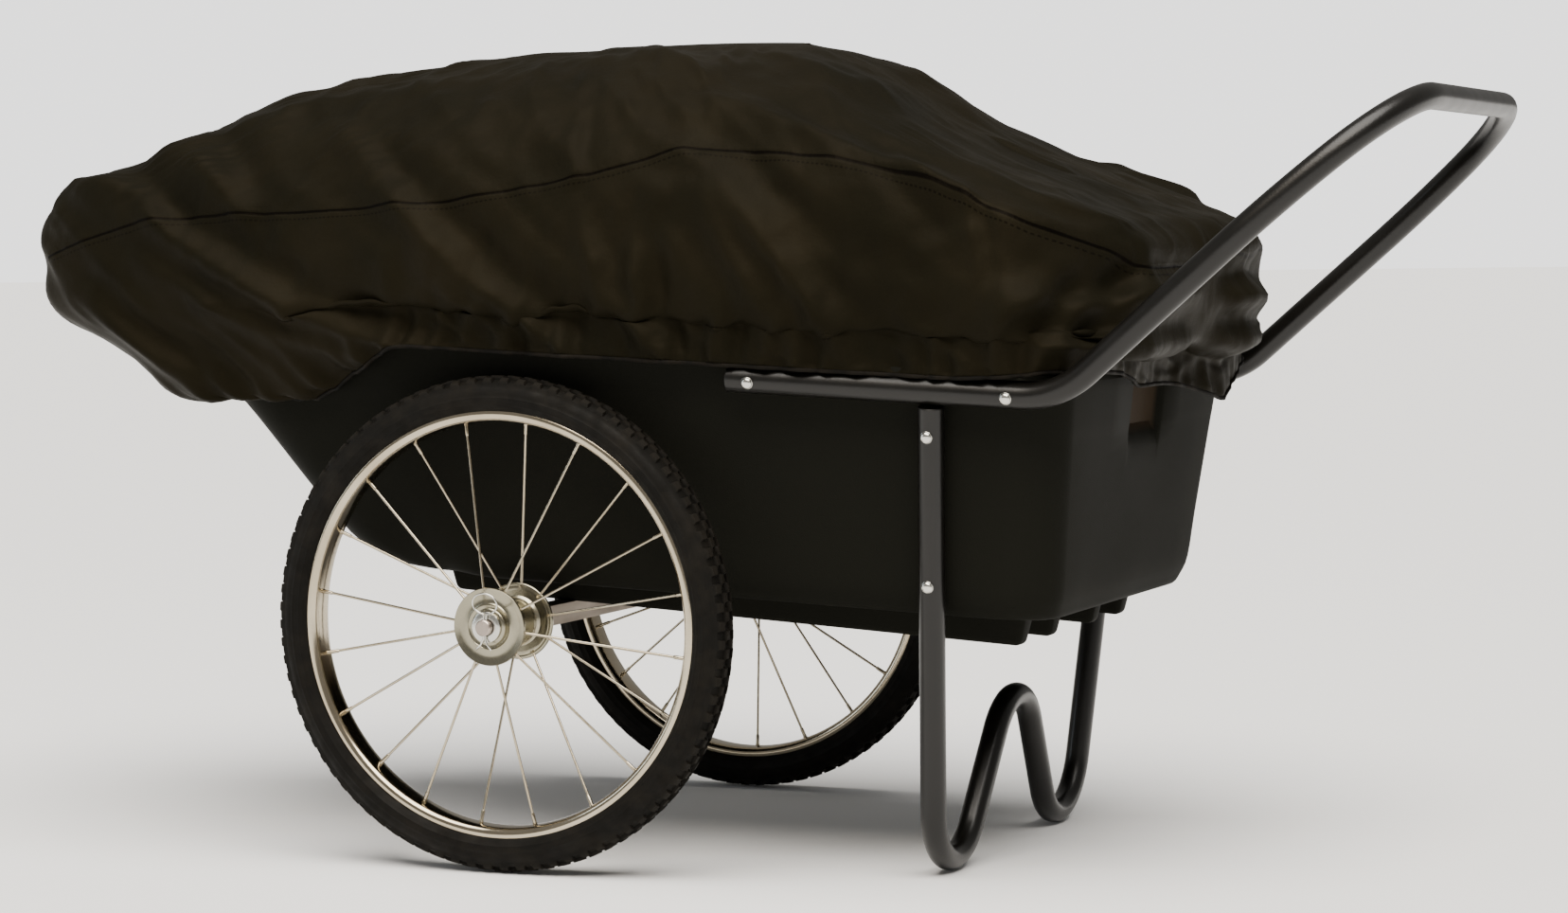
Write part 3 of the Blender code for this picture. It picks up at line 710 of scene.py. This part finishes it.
def tyre_mesh(name):
    """Sidewalls with two ribs, and a tread of staggered blocks, in one closed skin."""
    section = []
    for i in range(19):
        a = math.radians(-48 + 100 * i / 18)
        r = SIDEWALL_R + SIDEWALL_RISE * math.sin(a)
        section.append((SIDEWALL_HALF * math.cos(a) ** 0.85, r, -1))
    for rib in (5, 9):
        z, r, _ = section[rib]
        section[rib] = (z + 0.0007, r + 0.0002, -1)
    shoulder = [(TREAD_HALF, 0.0), (0.0150, 1.0), (0.0102, 1.0), (0.0094, 0.0), (0.0078, 0.0)]
    middle = [(0.0070, 2.0), (0.0026, 2.0), (0.0018, 0.0)]
    crown = TREAD_R - TREAD_HEIGHT
    section = [p for p in section if p[0] > 0.0162 or p[1] < 0.225]
    for z, row in shoulder + middle:
        section.append((z, crown - 0.0046 * (z / TREAD_HALF) ** 2.2, row))
    full = section + [(-z, r, row + 10 if row >= 0 else -1) for z, r, row in reversed(section)]
    full += [(-BEAD_HALF, BEAD_R, -1), (BEAD_HALF, BEAD_R, -1)]
    steps = (0.0, 0.09, 0.52, 0.61)
    verts = []
    tread = []
    for pitch in range(TREAD_PITCHES):
        for part, fraction in enumerate(steps):
            for z, r, row in full:
                shift = 0.5 if int(row) in (2, 11) else 0.0
                up = float(row >= 0 and int(row) % 10 > 0 and part in (1, 2))
                a = 2 * math.pi * (pitch + fraction + shift) / TREAD_PITCHES
                radius = r + TREAD_HEIGHT * up
                verts.append((radius * math.cos(a), radius * math.sin(a), z))
                tread.append(up)
    faces = section_faces(TREAD_PITCHES * len(steps), len(full), True)
    mesh = bpy.data.meshes.new(name)
    mesh.from_pydata(verts, [], faces)
    mesh.attributes.new("tread", "FLOAT", "POINT").data.foreach_set("value", tread)
    weld(mesh)
    return mesh


def rim_mesh(name):
    """A rolled steel rim: rounded side walls round a shallow well."""
    outer = [(0.0, 0.1972), (0.0050, 0.1974), (0.0085, 0.1978)]
    outer += arc((0.0090, 0.2048), 0.0068, -75, 50, 14)
    outer += [(0.0128, 0.2092), (0.0120, 0.2050), (0.0100, 0.2006), (0.0060, 0.1992), (0.0, 0.1990)]
    full = outer + [(-z, r) for z, r in reversed(outer[1:-1])]
    return turned_mesh(name, full, 160, closed=True)


def flange_mesh(name):
    """A pressed dish with a rolled edge and an embossed ring, outer face towards +Z."""
    face = [(0.0300, 0.0125), (0.0316, 0.0125), (0.0316, 0.0205)]
    face += [(0.0318, 0.0212), (0.0325, 0.0222), (0.0318, 0.0232), (0.0315, 0.0240)]
    face += [(0.0313, 0.0310), (0.0318, 0.0325)]
    face += arc((0.0313, 0.0357), 0.0024, 45, 225, 10)
    face += [(0.0292, 0.0330), (0.0296, 0.0300), (0.0298, 0.0200)]
    return turned_mesh(name, face, 96, closed=True)


def bush_mesh(name):
    face = [(0.0120, 0.0086), (0.0372, 0.0086), (0.0378, 0.0092), (0.0378, 0.0132), (0.0370, 0.0142)]
    face += [(0.0352, 0.0150), (0.0348, 0.0172), (0.0340, 0.0180)]
    face += [(0.0316, 0.0180), (0.0316, 0.0130), (0.0120, 0.0130)]
    return turned_mesh(name, face, 64, closed=True)


def washer_mesh(name):
    face = [(0.0380, 0.0086), (0.0396, 0.0086), (0.0396, 0.0146), (0.0393, 0.0150), (0.0380, 0.0150)]
    return turned_mesh(name, face, 64, closed=True)


def barrel_mesh(name):
    half = [(0.0292, 0.0182), (0.0292, 0.0250), (0.0280, 0.0232)]
    half += [(0.0262, 0.0214), (0.0230, 0.0202), (0.0, 0.0198)]
    full = half + [(-z, r) for z, r in reversed(half[:-1])]
    return turned_mesh(name, full, 72, closed=True)


def spoke_set(name, sign):
    """Both sides' spokes: wire, nipple at the rim and a bent head in the flange."""
    shift = sign * (HUB_Y - WHEEL_Y)
    meshes = []
    first = SPOKE_PHASES[sign]
    for out, phase in ((sign, first), (-sign, first + math.pi / 10)):
        for k in range(10):
            a = phase - 2 * math.pi * k / 10
            ray = Vector((math.cos(a), 0, math.sin(a)))
            start = ray * LACED_AT[0] + Vector((0, shift + out * LACED_AT[1], 0))
            end = ray * SEATED_AT[0] + Vector((0, out * SEATED_AT[1], 0))
            run = (end - start).normalized()
            elbow = start - ray * 0.0012 - Vector((0, out * 0.0035, 0))
            meshes.append(tube_mesh("wire", [elbow, start, start + run * 0.004, end], WIRE_R, 3))
            foot = end - run * NIPPLE_LENGTH
            nipple = [foot, foot + run * 0.0012, foot + run * 0.0100, foot + run * 0.0102, end]
            meshes.append(tube_mesh("nipple", nipple, NIPPLE_R, 2, radii=[0.75, 1.0, 1.0, 1.25, 1.25]))
    return joined(name, *meshes)


def wheel(side, sign):
    body = side + "_wheel"
    axis = Matrix.Translation((AXLE_X, sign * WHEEL_Y, AXLE_Z))
    across = axis @ Matrix.Rotation(-sign * math.pi / 2, 4, "X")
    hub = Matrix.Translation((AXLE_X, sign * HUB_Y, AXLE_Z))
    outwards = hub @ Matrix.Rotation(-sign * math.pi / 2, 4, "X")
    inwards = hub @ Matrix.Rotation(sign * math.pi / 2, 4, "X")
    tyre, rim, barrel = tyre_mesh(side), rim_mesh(side), barrel_mesh(side)
    add_piece(side + "_tyre_tread", tyre, across, RUBBER, body, side + "_tyre", crease=35)
    add_piece(side + "_rim_hoop", rim, across, CHROME, body, side + "_rim", crease=50)
    add_piece(side + "_spokes", spoke_set(side, sign), axis, SPOKE_WIRE, body, crease=50)
    add_piece(side + "_hub_shell", barrel, outwards, ZINC, body, side + "_hub_barrel")
    for where, place in (("outer", outwards), ("inner", inwards)):
        name = f"{side}_{where}_"
        add_piece(name + "hub_flange", flange_mesh(side), place, ZINC, body, name + "flange")
        add_piece(name + "hub_bush", bush_mesh(side), place, ZINC, body, name + "bush")
        washer = washer_mesh(side)
        add_piece(name + "thrust_washer", washer, place, FASTENER, "frame", name + "washer")
    cotter_piece(side, sign)
    bolt_piece(side + "_axle_bolt", BODY @ aimed((0, sign * 0.245, -0.0101), (0, 0, 1)))


for side, sign in SIDES:
    wheel(side, sign)

# ---- cover ----
CLOTH = 0.0009
HEM_GROW = 0.0205
WRAP_START = -0.10
# Rows from the hem, under the nose and out to its front: front x, front z, width, rise at the sides.
UNDER_NOSE = [
    (-0.356, 0.460, 0.915, 0.000),
    (-0.425, 0.458, 0.940, 0.011),
    (-0.478, 0.502, 0.970, 0.024),
    (-0.563, 0.549, 1.004, 0.038),
]
# Rows of the tent: width, side z, front x, front z, rear x, rear z, how much the rear narrows.
TENT = [
    (1.014, 0.545, -0.575, 0.590, 0.625, 0.505, 0.12),
    (1.016, 0.605, -0.573, 0.638, 0.640, 0.560, 0.26),
    (0.960, 0.675, -0.542, 0.672, 0.630, 0.612, 0.28),
    (0.820, 0.735, -0.425, 0.720, 0.560, 0.645, 0.28),
    (0.560, 0.782, -0.320, 0.768, 0.400, 0.712, 0.12),
    (0.250, 0.807, -0.180, 0.795, 0.270, 0.790, 0.12),
    (0.000, 0.814, 0.000, 0.812, 0.200, 0.812, 0.0),
]
TENT_MIDDLE = 0.10
ROW_STEPS = [3, 4, 4, 3, 6, 6, 8, 10, 10, 6]
AROUND = 440
ELASTIC_R = 0.0020

# Where the hem hangs lower at the rear: a broad swag, and a deeper one left of the middle.
SWAG = 0.018
HANG = 0.022
HANG_Y = 0.13
HANG_HALF = 0.085

# Heights of the slack, the waves, the puckers and the gathers, and the gathers' pitches.
SLACK = 0.005
WAVE = 0.004
PUCKER = 0.0022
GATHER = 0.0050
FINE_GATHER = 0.0020
GATHER_PITCH = 0.034
FINE_PITCH = 0.019
# The long folds run down and back at this slant, and the creases follow them.
SLANT_COS = 0.78
SLANT_SIN = 0.62
# Creases added after the cloth has settled.
CREASE = 0.0034
FINE_CREASE = 0.0012

# The simulation: its frames, its share of gravity, and how far inside the cloth the load lies.
DRAPE_FRAMES = 18
PULL = 0.4
LOAD_INSET = 0.007
# How far the settled cloth may move from its placed shape, and how much of that is kept.
MOST_IN = 0.012
MOST_OUT = 0.003
MOST_SLIDE = 0.003
SLIDE_KEPT = 0.25
CREST_KEPT = 0.75
# Rows held at the hem, rows over which the movement grows, and calm rows at the ridge.
HELD_ROWS = 9
FREE_ROWS = 14
RIDGE_ROWS = 9
SOFTER = 4

# Folds seen from the side, on a 5 mm grid: height, half width, then the two or three (x, z) points
# that the crest runs through.
FOLDS = [
    (0.012, 0.014, (-0.41, 0.64), (-0.22, 0.545), (-0.06, 0.5)),
    (0.006, 0.01, (-0.42, 0.6), (-0.28, 0.535), (-0.15, 0.5)),
    (0.013, 0.015, (-0.115, 0.655), (-0.01, 0.565), (0.08, 0.5)),
    (0.007, 0.01, (-0.09, 0.6), (0.01, 0.52)),
    (0.01, 0.014, (-0.385, 0.71), (-0.335, 0.68), (-0.29, 0.645)),
    (0.006, 0.009, (-0.2, 0.73), (-0.11, 0.66)),
    (0.008, 0.012, (-0.545, 0.67), (-0.44, 0.67), (-0.385, 0.635)),
    (0.006, 0.01, (0.09, 0.64), (0.12, 0.56), (0.18, 0.5)),
    (0.009, 0.011, (0.15, 0.6), (0.155, 0.55), (0.175, 0.505)),
    (0.008, 0.011, (0.215, 0.65), (0.265, 0.575), (0.315, 0.505)),
    (0.013, 0.018, (0.225, 0.67), (0.305, 0.585), (0.36, 0.51)),
    (0.006, 0.01, (0.3, 0.64), (0.385, 0.555)),
    (0.007, 0.009, (0.19, 0.75), (0.35, 0.695), (0.475, 0.65)),
    (0.006, 0.009, (0.2, 0.795), (0.37, 0.74)),
    (0.006, 0.01, (0.06, 0.795), (0.12, 0.79), (0.175, 0.77)),
    (0.003, 0.008, (-0.42, 0.705), (-0.25, 0.755), (-0.06, 0.775)),
    (0.004, 0.006, (0.06, 0.74), (0.08, 0.67)),
    (0.005, 0.006, (0.48, 0.645), (0.5, 0.57)),
    (0.004, 0.006, (0.43, 0.6), (0.52, 0.63)),
    (0.007, 0.011, (0.4, 0.68), (0.5, 0.64), (0.585, 0.61)),
    (0.012, 0.014, (0.56, 0.59), (0.525, 0.545), (0.505, 0.5)),
    (0.009, 0.011, (0.59, 0.6), (0.57, 0.55), (0.55, 0.505)),
    (0.011, 0.012, (0.52, 0.56), (0.57, 0.545), (0.65, 0.57)),
    (0.01, 0.01, (0.54, 0.515), (0.59, 0.51), (0.64, 0.52)),
    (0.007, 0.009, (0.23, 0.56), (0.24, 0.5)),
    (0.006, 0.009, (-0.48, 0.56), (-0.4, 0.5), (-0.32, 0.47)),
]
FAR_SHIFT = 0.035

# The sewn seam seen from the side, a smooth line through these (x, z) points.
SEAM = [
    (-0.59, 0.585), (-0.41, 0.635), (-0.2, 0.645), (-0.04, 0.655), (0.11, 0.68),
    (0.21, 0.7), (0.36, 0.68), (0.48, 0.645), (0.64, 0.575),
]


def even_ring(points, count):
    """The closed line through the points, resampled evenly, starting at the rear middle."""
    loop = np.array([tuple(p) for p in points] + [tuple(points[0])])
    lengths = np.concatenate([[0], np.cumsum(np.linalg.norm(np.diff(loop, axis=0), axis=1))])
    at = np.arange(count) / count * lengths[-1]
    return np.stack([np.interp(at, lengths, loop[:, k]) for k in range(3)], axis=1)


def eased(values):
    t = np.clip(values, 0, 1)
    return t * t * (3 - 2 * t)


def bell(values):
    return np.exp(-(values**2))


def rim_ring():
    """The ring just outside the tub's lip, lower and further out where the cloth hangs behind."""
    lean = Matrix.Translation((0, 0, AXLE_Z)) @ Matrix.Rotation(TILT, 4, "Y")
    ring = []
    for p in outline(*LEVELS[-1], grow=HEM_GROW):
        up = 0.006 * ease((p.x - 0.48) / 0.04) + 0.004 * ease((p.x - 0.52) / 0.02)
        rear = ease((p.x - 0.555) / 0.012)
        hang = math.exp(-(((p.y - HANG_Y) / HANG_HALF) ** 2))
        down = rear * (SWAG * ease((0.20 - abs(p.y)) / 0.08) + HANG * hang)
        ring.append(lean @ Vector((p.x + 0.020 * rear * hang, p.y, p.z - 0.0033 + up - down)))
    return even_ring(ring, AROUND)


def smooth_rows():
    """Rows of the cloth without its folds, hem to ridge, measured from the ground under the axle."""
    rim = rim_ring()
    low, high = rim[:, 0].min(), rim[:, 0].max()
    at_nose = rim[:, 0] < WRAP_START
    ahead = np.where(at_nose, (WRAP_START - rim[:, 0]) / (WRAP_START - low), 0)
    wrap = eased(ahead / 0.55)
    side = rim[~at_nose][np.argmin(np.abs(rim[~at_nose][:, 0] - WRAP_START)), 2]
    levels = []
    for front, front_z, width, rise in UNDER_NOSE:
        x = np.where(at_nose, WRAP_START + (front - WRAP_START) * ahead, rim[:, 0])
        y = rim[:, 1] * (1 + (width - 1) * wrap)
        z = np.where(at_nose, side + rise + (front_z - side - rise) * wrap, rim[:, 2] + rise)
        levels.append(np.stack([x, y, z], axis=1))
    for width, side_z, front, front_z, rear, rear_z, taper in TENT:
        x = front + (rear - front) * (rim[:, 0] - low) / (high - low)
        rear_part = x > TENT_MIDDLE
        end = np.where(rear_part, rear, front)
        end_z = np.where(rear_part, rear_z, front_z)
        share = ((x - TENT_MIDDLE) / (end - TENT_MIDDLE)) ** 2
        narrow = 1 - taper * eased((x - 0.51) / 0.09)
        z = side_z + (end_z - side_z) * share
        levels.append(np.stack([x, rim[:, 1] * width * narrow, z], axis=1))
    rows = between([level.ravel() for level in levels], ROW_STEPS)
    return np.array(rows).reshape(len(rows), AROUND, 3)


def outward(rows):
    """Unit normals of a grid of rows."""
    around = np.roll(rows, -1, axis=1) - np.roll(rows, 1, axis=1)
    upward = np.gradient(rows, axis=0)
    normal = np.cross(around, upward)
    normal[-1] = (0, 0, 1)
    return normal / np.maximum(np.linalg.norm(normal, axis=2, keepdims=True), 1e-9)


def beside(points, line):
    """Signed distance of (x, z) points from a line, positive on its left, and the share along it."""
    line = np.array(line)
    lengths = np.linalg.norm(np.diff(line, axis=0), axis=1)
    side = np.full(len(points), np.inf)
    along = np.zeros(len(points))
    start = 0.0
    for a, b, length in zip(line, line[1:], lengths):
        step = (b - a) / length
        offset = points - a
        t = np.clip(offset @ step, 0, length)
        gap = np.linalg.norm(offset - t[:, None] * step, axis=1)
        cross = step[0] * offset[:, 1] - step[1] * offset[:, 0]
        nearer = gap < np.abs(side)
        side[nearer] = np.copysign(gap, cross)[nearer]
        along[nearer] = ((start + t) / lengths.sum())[nearer]
        start += length
    return side, along


def noise_at(points, scale, seed=0.0):
    places = points * np.array(scale) + np.array((seed, 0, 0))
    return np.array([noise.noise(Vector(place)) for place in places])


def seen_from_side(points):
    """(x, z) of the points, with the far side shifted so that the two sides differ."""
    return np.stack([points[:, 0] - FAR_SHIFT * (points[:, 1] > 0), points[:, 2]], axis=1)


def slanted(points):
    """The points turned so that their last axis lies across the long folds."""
    x, z = seen_from_side(points).T
    along = SLANT_COS * x - SLANT_SIN * z
    return np.stack([along, points[:, 1], SLANT_SIN * x + SLANT_COS * z], axis=1)


def crest_heights(rows):
    """The long folds: each a crest with a hollow above it."""
    points = rows.reshape(-1, 3)
    flat = seen_from_side(points)
    lift = np.zeros(len(points))
    for height, wide, *crest in FOLDS:
        side, along = beside(flat, between([np.array(p) for p in crest], 4))
        ridge = np.exp(-np.abs(side) / wide) - 0.6 * bell((side - 1.8 * wide) / (1.2 * wide))
        lift += height * ridge * np.sin(math.pi * (0.08 + 0.84 * along)) ** 0.6
    lift *= eased(np.abs(points[:, 1]) / 0.07)
    return lift.reshape(rows.shape[:2])


def loose_heights(rows):
    """Slack, waves, puckers and the gathers at the hem."""
    points = rows.reshape(-1, 3)
    lift = np.zeros(len(points))
    drawn = 1 - np.abs(noise_at(slanted(points), (4.5, 5, 30)))
    lift += SLACK * (drawn**4 - 0.45)
    lift += WAVE * noise_at(points, (6, 6, 8), 7.3)
    lift += PUCKER * noise_at(points, (38, 38, 38), 2.1)
    steps = np.linalg.norm(np.diff(rows, axis=0), axis=2)
    height = np.concatenate([np.zeros((1, AROUND)), np.cumsum(steps, axis=0)]).ravel()
    ring = rows[0]
    travel = np.concatenate([[0], np.cumsum(np.linalg.norm(np.diff(ring, axis=0), axis=1))])
    travel = np.tile(travel, rows.shape[0])
    spot = np.stack([travel, height, 0 * travel], axis=1)
    reach = 0.030 + 0.050 * (0.5 + noise_at(spot, (8, 0, 0), 3.7))
    swing = np.sin(2 * math.pi * travel / GATHER_PITCH + 5.5 * noise_at(spot, (11, 7, 0), 9.1))
    fine = np.sin(2 * math.pi * travel / FINE_PITCH + 5.0 * noise_at(spot, (23, 12, 0), 4.4))
    at_rear = eased((points[:, 0] - 0.54) / 0.04)
    gathers = GATHER * swing + FINE_GATHER * fine
    lift += np.exp(-height / reach) * gathers * (1 - 0.65 * at_rear)
    lift *= eased(height / 0.006 + 0.45)
    lift *= 1 - 0.6 * eased((points[:, 0] - 0.56) / 0.05) * eased(height / 0.03)
    return lift.reshape(rows.shape[:2])


def calm(rows):
    """1 over the cloth, falling to 0 at the ridge, where the two sides meet."""
    return eased((len(rows) - 1 - np.arange(len(rows))) / RIDGE_ROWS)[:, None, None]


def draped(rows, smooth):
    """The folded cloth after it has settled on the load, which is the smooth shape further in."""
    load = new_object("load", grid_mesh("load", smooth - LOAD_INSET * outward(smooth)), GROUND)
    load.modifiers.new("load", "COLLISION")
    load.collision.thickness_outer = 0.001
    load.collision.cloth_friction = 12
    sheet = new_object("sheet", grid_mesh("sheet", rows), GROUND)
    held = sheet.vertex_groups.new(name="held")
    for row in range(HELD_ROWS):
        held.add(list(range(row * AROUND, (row + 1) * AROUND)), 1 - row / HELD_ROWS, "REPLACE")
    held.add(list(range((len(rows) - 1) * AROUND, len(rows) * AROUND)), 1.0, "REPLACE")
    cloth = sheet.modifiers.new("drape", "CLOTH")
    nylon = cloth.settings
    nylon.quality = 5
    nylon.mass = 0.12
    nylon.tension_stiffness = 12
    nylon.compression_stiffness = 12
    nylon.shear_stiffness = 3
    nylon.bending_stiffness = 0.08
    nylon.vertex_group_mass = "held"
    nylon.effector_weights.gravity = PULL
    cloth.collision_settings.distance_min = 0.001
    cloth.collision_settings.collision_quality = 2
    cloth.point_cache.frame_end = DRAPE_FRAMES
    scene = bpy.context.scene
    for number in range(1, DRAPE_FRAMES + 1):
        scene.frame_set(number)
    graph = bpy.context.evaluated_depsgraph_get()
    result = sheet.evaluated_get(graph).data
    out = np.empty(len(result.vertices) * 3)
    result.vertices.foreach_get("co", out)
    scene.frame_set(1)
    bpy.data.objects.remove(sheet, do_unlink=True)
    bpy.data.objects.remove(load, do_unlink=True)
    moved = out.reshape(rows.shape) - rows
    normal = outward(smooth)
    for _ in range(SOFTER):
        moved = (np.roll(moved, 1, axis=1) + 2 * moved + np.roll(moved, -1, axis=1)) / 4
        padded = np.pad(moved, ((1, 1), (0, 0), (0, 0)), mode="edge")
        moved = (padded[:-2] + 2 * moved + padded[2:]) / 4
    push = (moved * normal).sum(axis=2, keepdims=True)
    slide = SLIDE_KEPT * (moved - push * normal)
    slid = np.linalg.norm(slide, axis=2, keepdims=True)
    slide *= np.minimum(1, MOST_SLIDE / np.maximum(slid, 1e-9))
    freed = eased((np.arange(len(rows)) - HELD_ROWS / 2) / FREE_ROWS)[:, None, None]
    return rows + (np.clip(push, -MOST_IN, MOST_OUT) * normal + slide) * freed * calm(rows)


def crumples(rows):
    """Small sharp creases that a thin cloth keeps after it has settled."""
    points = rows.reshape(-1, 3)
    sharp = 1 - np.abs(noise_at(slanted(points), (9, 9, 34), 5.2)) * 2
    small = 1 - np.abs(noise_at(points, (30, 30, 30), 8.8)) * 2
    lift = CREASE * np.maximum(sharp, 0) ** 4 + FINE_CREASE * np.maximum(small, 0) ** 3
    return lift.reshape(rows.shape[:2])


def cover_piece():
    smooth = smooth_rows()
    crests = crest_heights(smooth)
    rows = smooth + (crests + loose_heights(smooth))[:, :, None] * outward(smooth) * calm(smooth)
    rows = draped(rows, smooth)
    kept = CREST_KEPT * crests + crumples(smooth)
    rows = rows + kept[:, :, None] * outward(smooth) * calm(smooth)
    mesh = grid_mesh("cover_cloth", rows)
    sewn = between([np.array(p) for p in SEAM], 4)
    seam_gap, _ = beside(seen_from_side(smooth.reshape(-1, 3)), sewn)
    mesh.attributes.new("seam", "FLOAT", "POINT").data.foreach_set("value", seam_gap)
    weld(mesh, 1e-4)
    obj = new_object("cover_cloth", mesh, GROUND)
    fine = obj.modifiers.new("fine", "SUBSURF")
    fine.levels = fine.render_levels = 1
    shell = obj.modifiers.new("cloth", "SOLIDIFY")
    shell.thickness = CLOTH
    shell.offset = -1
    finish_piece(obj, COVER, "cover", "cover", crease=0)
    return obj, rows[0]


COVER_PIECE, HEM = cover_piece()
hem_line = [GROUND @ (Vector(p) - Vector((0, 0, 0.001))) for p in HEM]
elastic_mesh = tube_mesh("cover_elastic_hem", hem_line, ELASTIC_R, 3, cyclic=True)
elastic = new_object("cover_elastic_hem", elastic_mesh)
finish_piece(elastic, ELASTIC, "cover", "cover_elastic", crease=0)

# ---- carried-over nodes ----
FASTENER_PARTS = (
    "axle_nut", "tub_screw", "front_handle_nut", "rear_handle_nut", "lower_leg_nut", "upper_leg_nut",
)
CARRIED = {"axle_beam": BEAM_STEEL}
for side, _ in SIDES:
    CARRIED[side + "_inner_tube"] = BUTYL
    for part in FASTENER_PARTS:
        CARRIED[f"{side}_{part}"] = FASTENER
for name, mat in CARRIED.items():
    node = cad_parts[name]
    for slot in node.material_slots:
        slot.material = mat

# ---- stage, light and camera ----
FLOOR_HALF = 120
PALE = 2.09
LENS = 88.7
# The camera from the ground under the axle; then its turn to the left, its tilt down and its roll.
CAMERA_AT = (1.673, -3.669, 0.617)
CAMERA_TURN = (0.3886, 0.0573, -0.0101)


def stage():
    mesh = bpy.data.meshes.new("studio_floor")
    corners = [(x * FLOOR_HALF, y * FLOOR_HALF, 0) for x, y in ((-1, -1), (1, -1), (1, 1), (-1, 1))]
    mesh.from_pydata(corners, [], [(0, 1, 2, 3)])
    floor = bpy.data.objects.new("studio_floor", mesh)
    bpy.context.scene.collection.objects.link(floor)
    floor.location.z = -0.001
    paint = Shader("studio_floor", Roughness=0.9, Specular_IOR_Level=0.0)
    paint.bsdf.inputs["Base Color"].default_value = (0.88, 0.88, 0.88, 1)
    mesh.materials.append(paint.material)
    world = bpy.data.worlds.new("studio")
    bpy.context.scene.world = world
    world.use_nodes = True
    tree = world.node_tree
    # The camera sees a paler background than the one that lights the pieces, which keeps them dark.
    dim = tree.nodes["Background"]
    dim.inputs["Color"].default_value = (1.0, 0.97, 0.92, 1)
    dim.inputs["Strength"].default_value = 0.30
    pale = tree.nodes.new("ShaderNodeBackground")
    pale.inputs["Color"].default_value = (1.0, 0.992, 0.982, 1)
    pale.inputs["Strength"].default_value = PALE
    ray = tree.nodes.new("ShaderNodeLightPath")
    mix = tree.nodes.new("ShaderNodeMixShader")
    tree.links.new(ray.outputs["Is Camera Ray"], mix.inputs[0])
    tree.links.new(dim.outputs[0], mix.inputs[1])
    tree.links.new(pale.outputs[0], mix.inputs[2])
    tree.links.new(mix.outputs[0], tree.nodes["World Output"].inputs["Surface"])


def lamp(name, kind, location, target, power, colour):
    """A lamp aimed at the target; the caller sets the size of its own kind."""
    data = bpy.data.lights.new(name, kind)
    data.energy = power
    data.color = colour
    light = bpy.data.objects.new(name, data)
    bpy.context.scene.collection.objects.link(light)
    light.location = location
    light.rotation_mode = "QUATERNION"
    light.rotation_quaternion = (Vector(target) - Vector(location)).to_track_quat("-Z", "Y")
    return data


def area_lamp(name, location, target, size, power, colour):
    data = lamp(name, "AREA", location, target, power, colour)
    data.shape = "RECTANGLE"
    data.size, data.size_y = size


def camera():
    data = bpy.data.cameras.new("camera")
    data.sensor_width = 36
    data.lens = LENS
    data.clip_end = 60
    yaw, pitch, roll = CAMERA_TURN
    turn = Matrix.Rotation(yaw, 4, "Z") @ Matrix.Rotation(math.pi / 2 - pitch, 4, "X")
    turn = turn @ Matrix.Rotation(roll, 4, "Z")
    obj = bpy.data.objects.new("camera", data)
    bpy.context.scene.collection.objects.link(obj)
    obj.matrix_world = GROUND @ Matrix.Translation(CAMERA_AT) @ turn
    bpy.context.scene.camera = obj


stage()
sky = lamp("sky", "SUN", (0.15, -0.35, 1.0), (0, 0, 0), 6.2, (1.0, 0.965, 0.91))
sky.angle = math.radians(60)
area_lamp("key", (0.6, -2.0, 3.0), (0, 0, 0.5), (3.0, 2.0), 46, (1.0, 0.84, 0.64))
area_lamp("fill", (-3.0, -1.8, 1.2), (0, 0, 0.4), (0.5, 1.6), 12, (0.80, 0.90, 1.0))
camera()
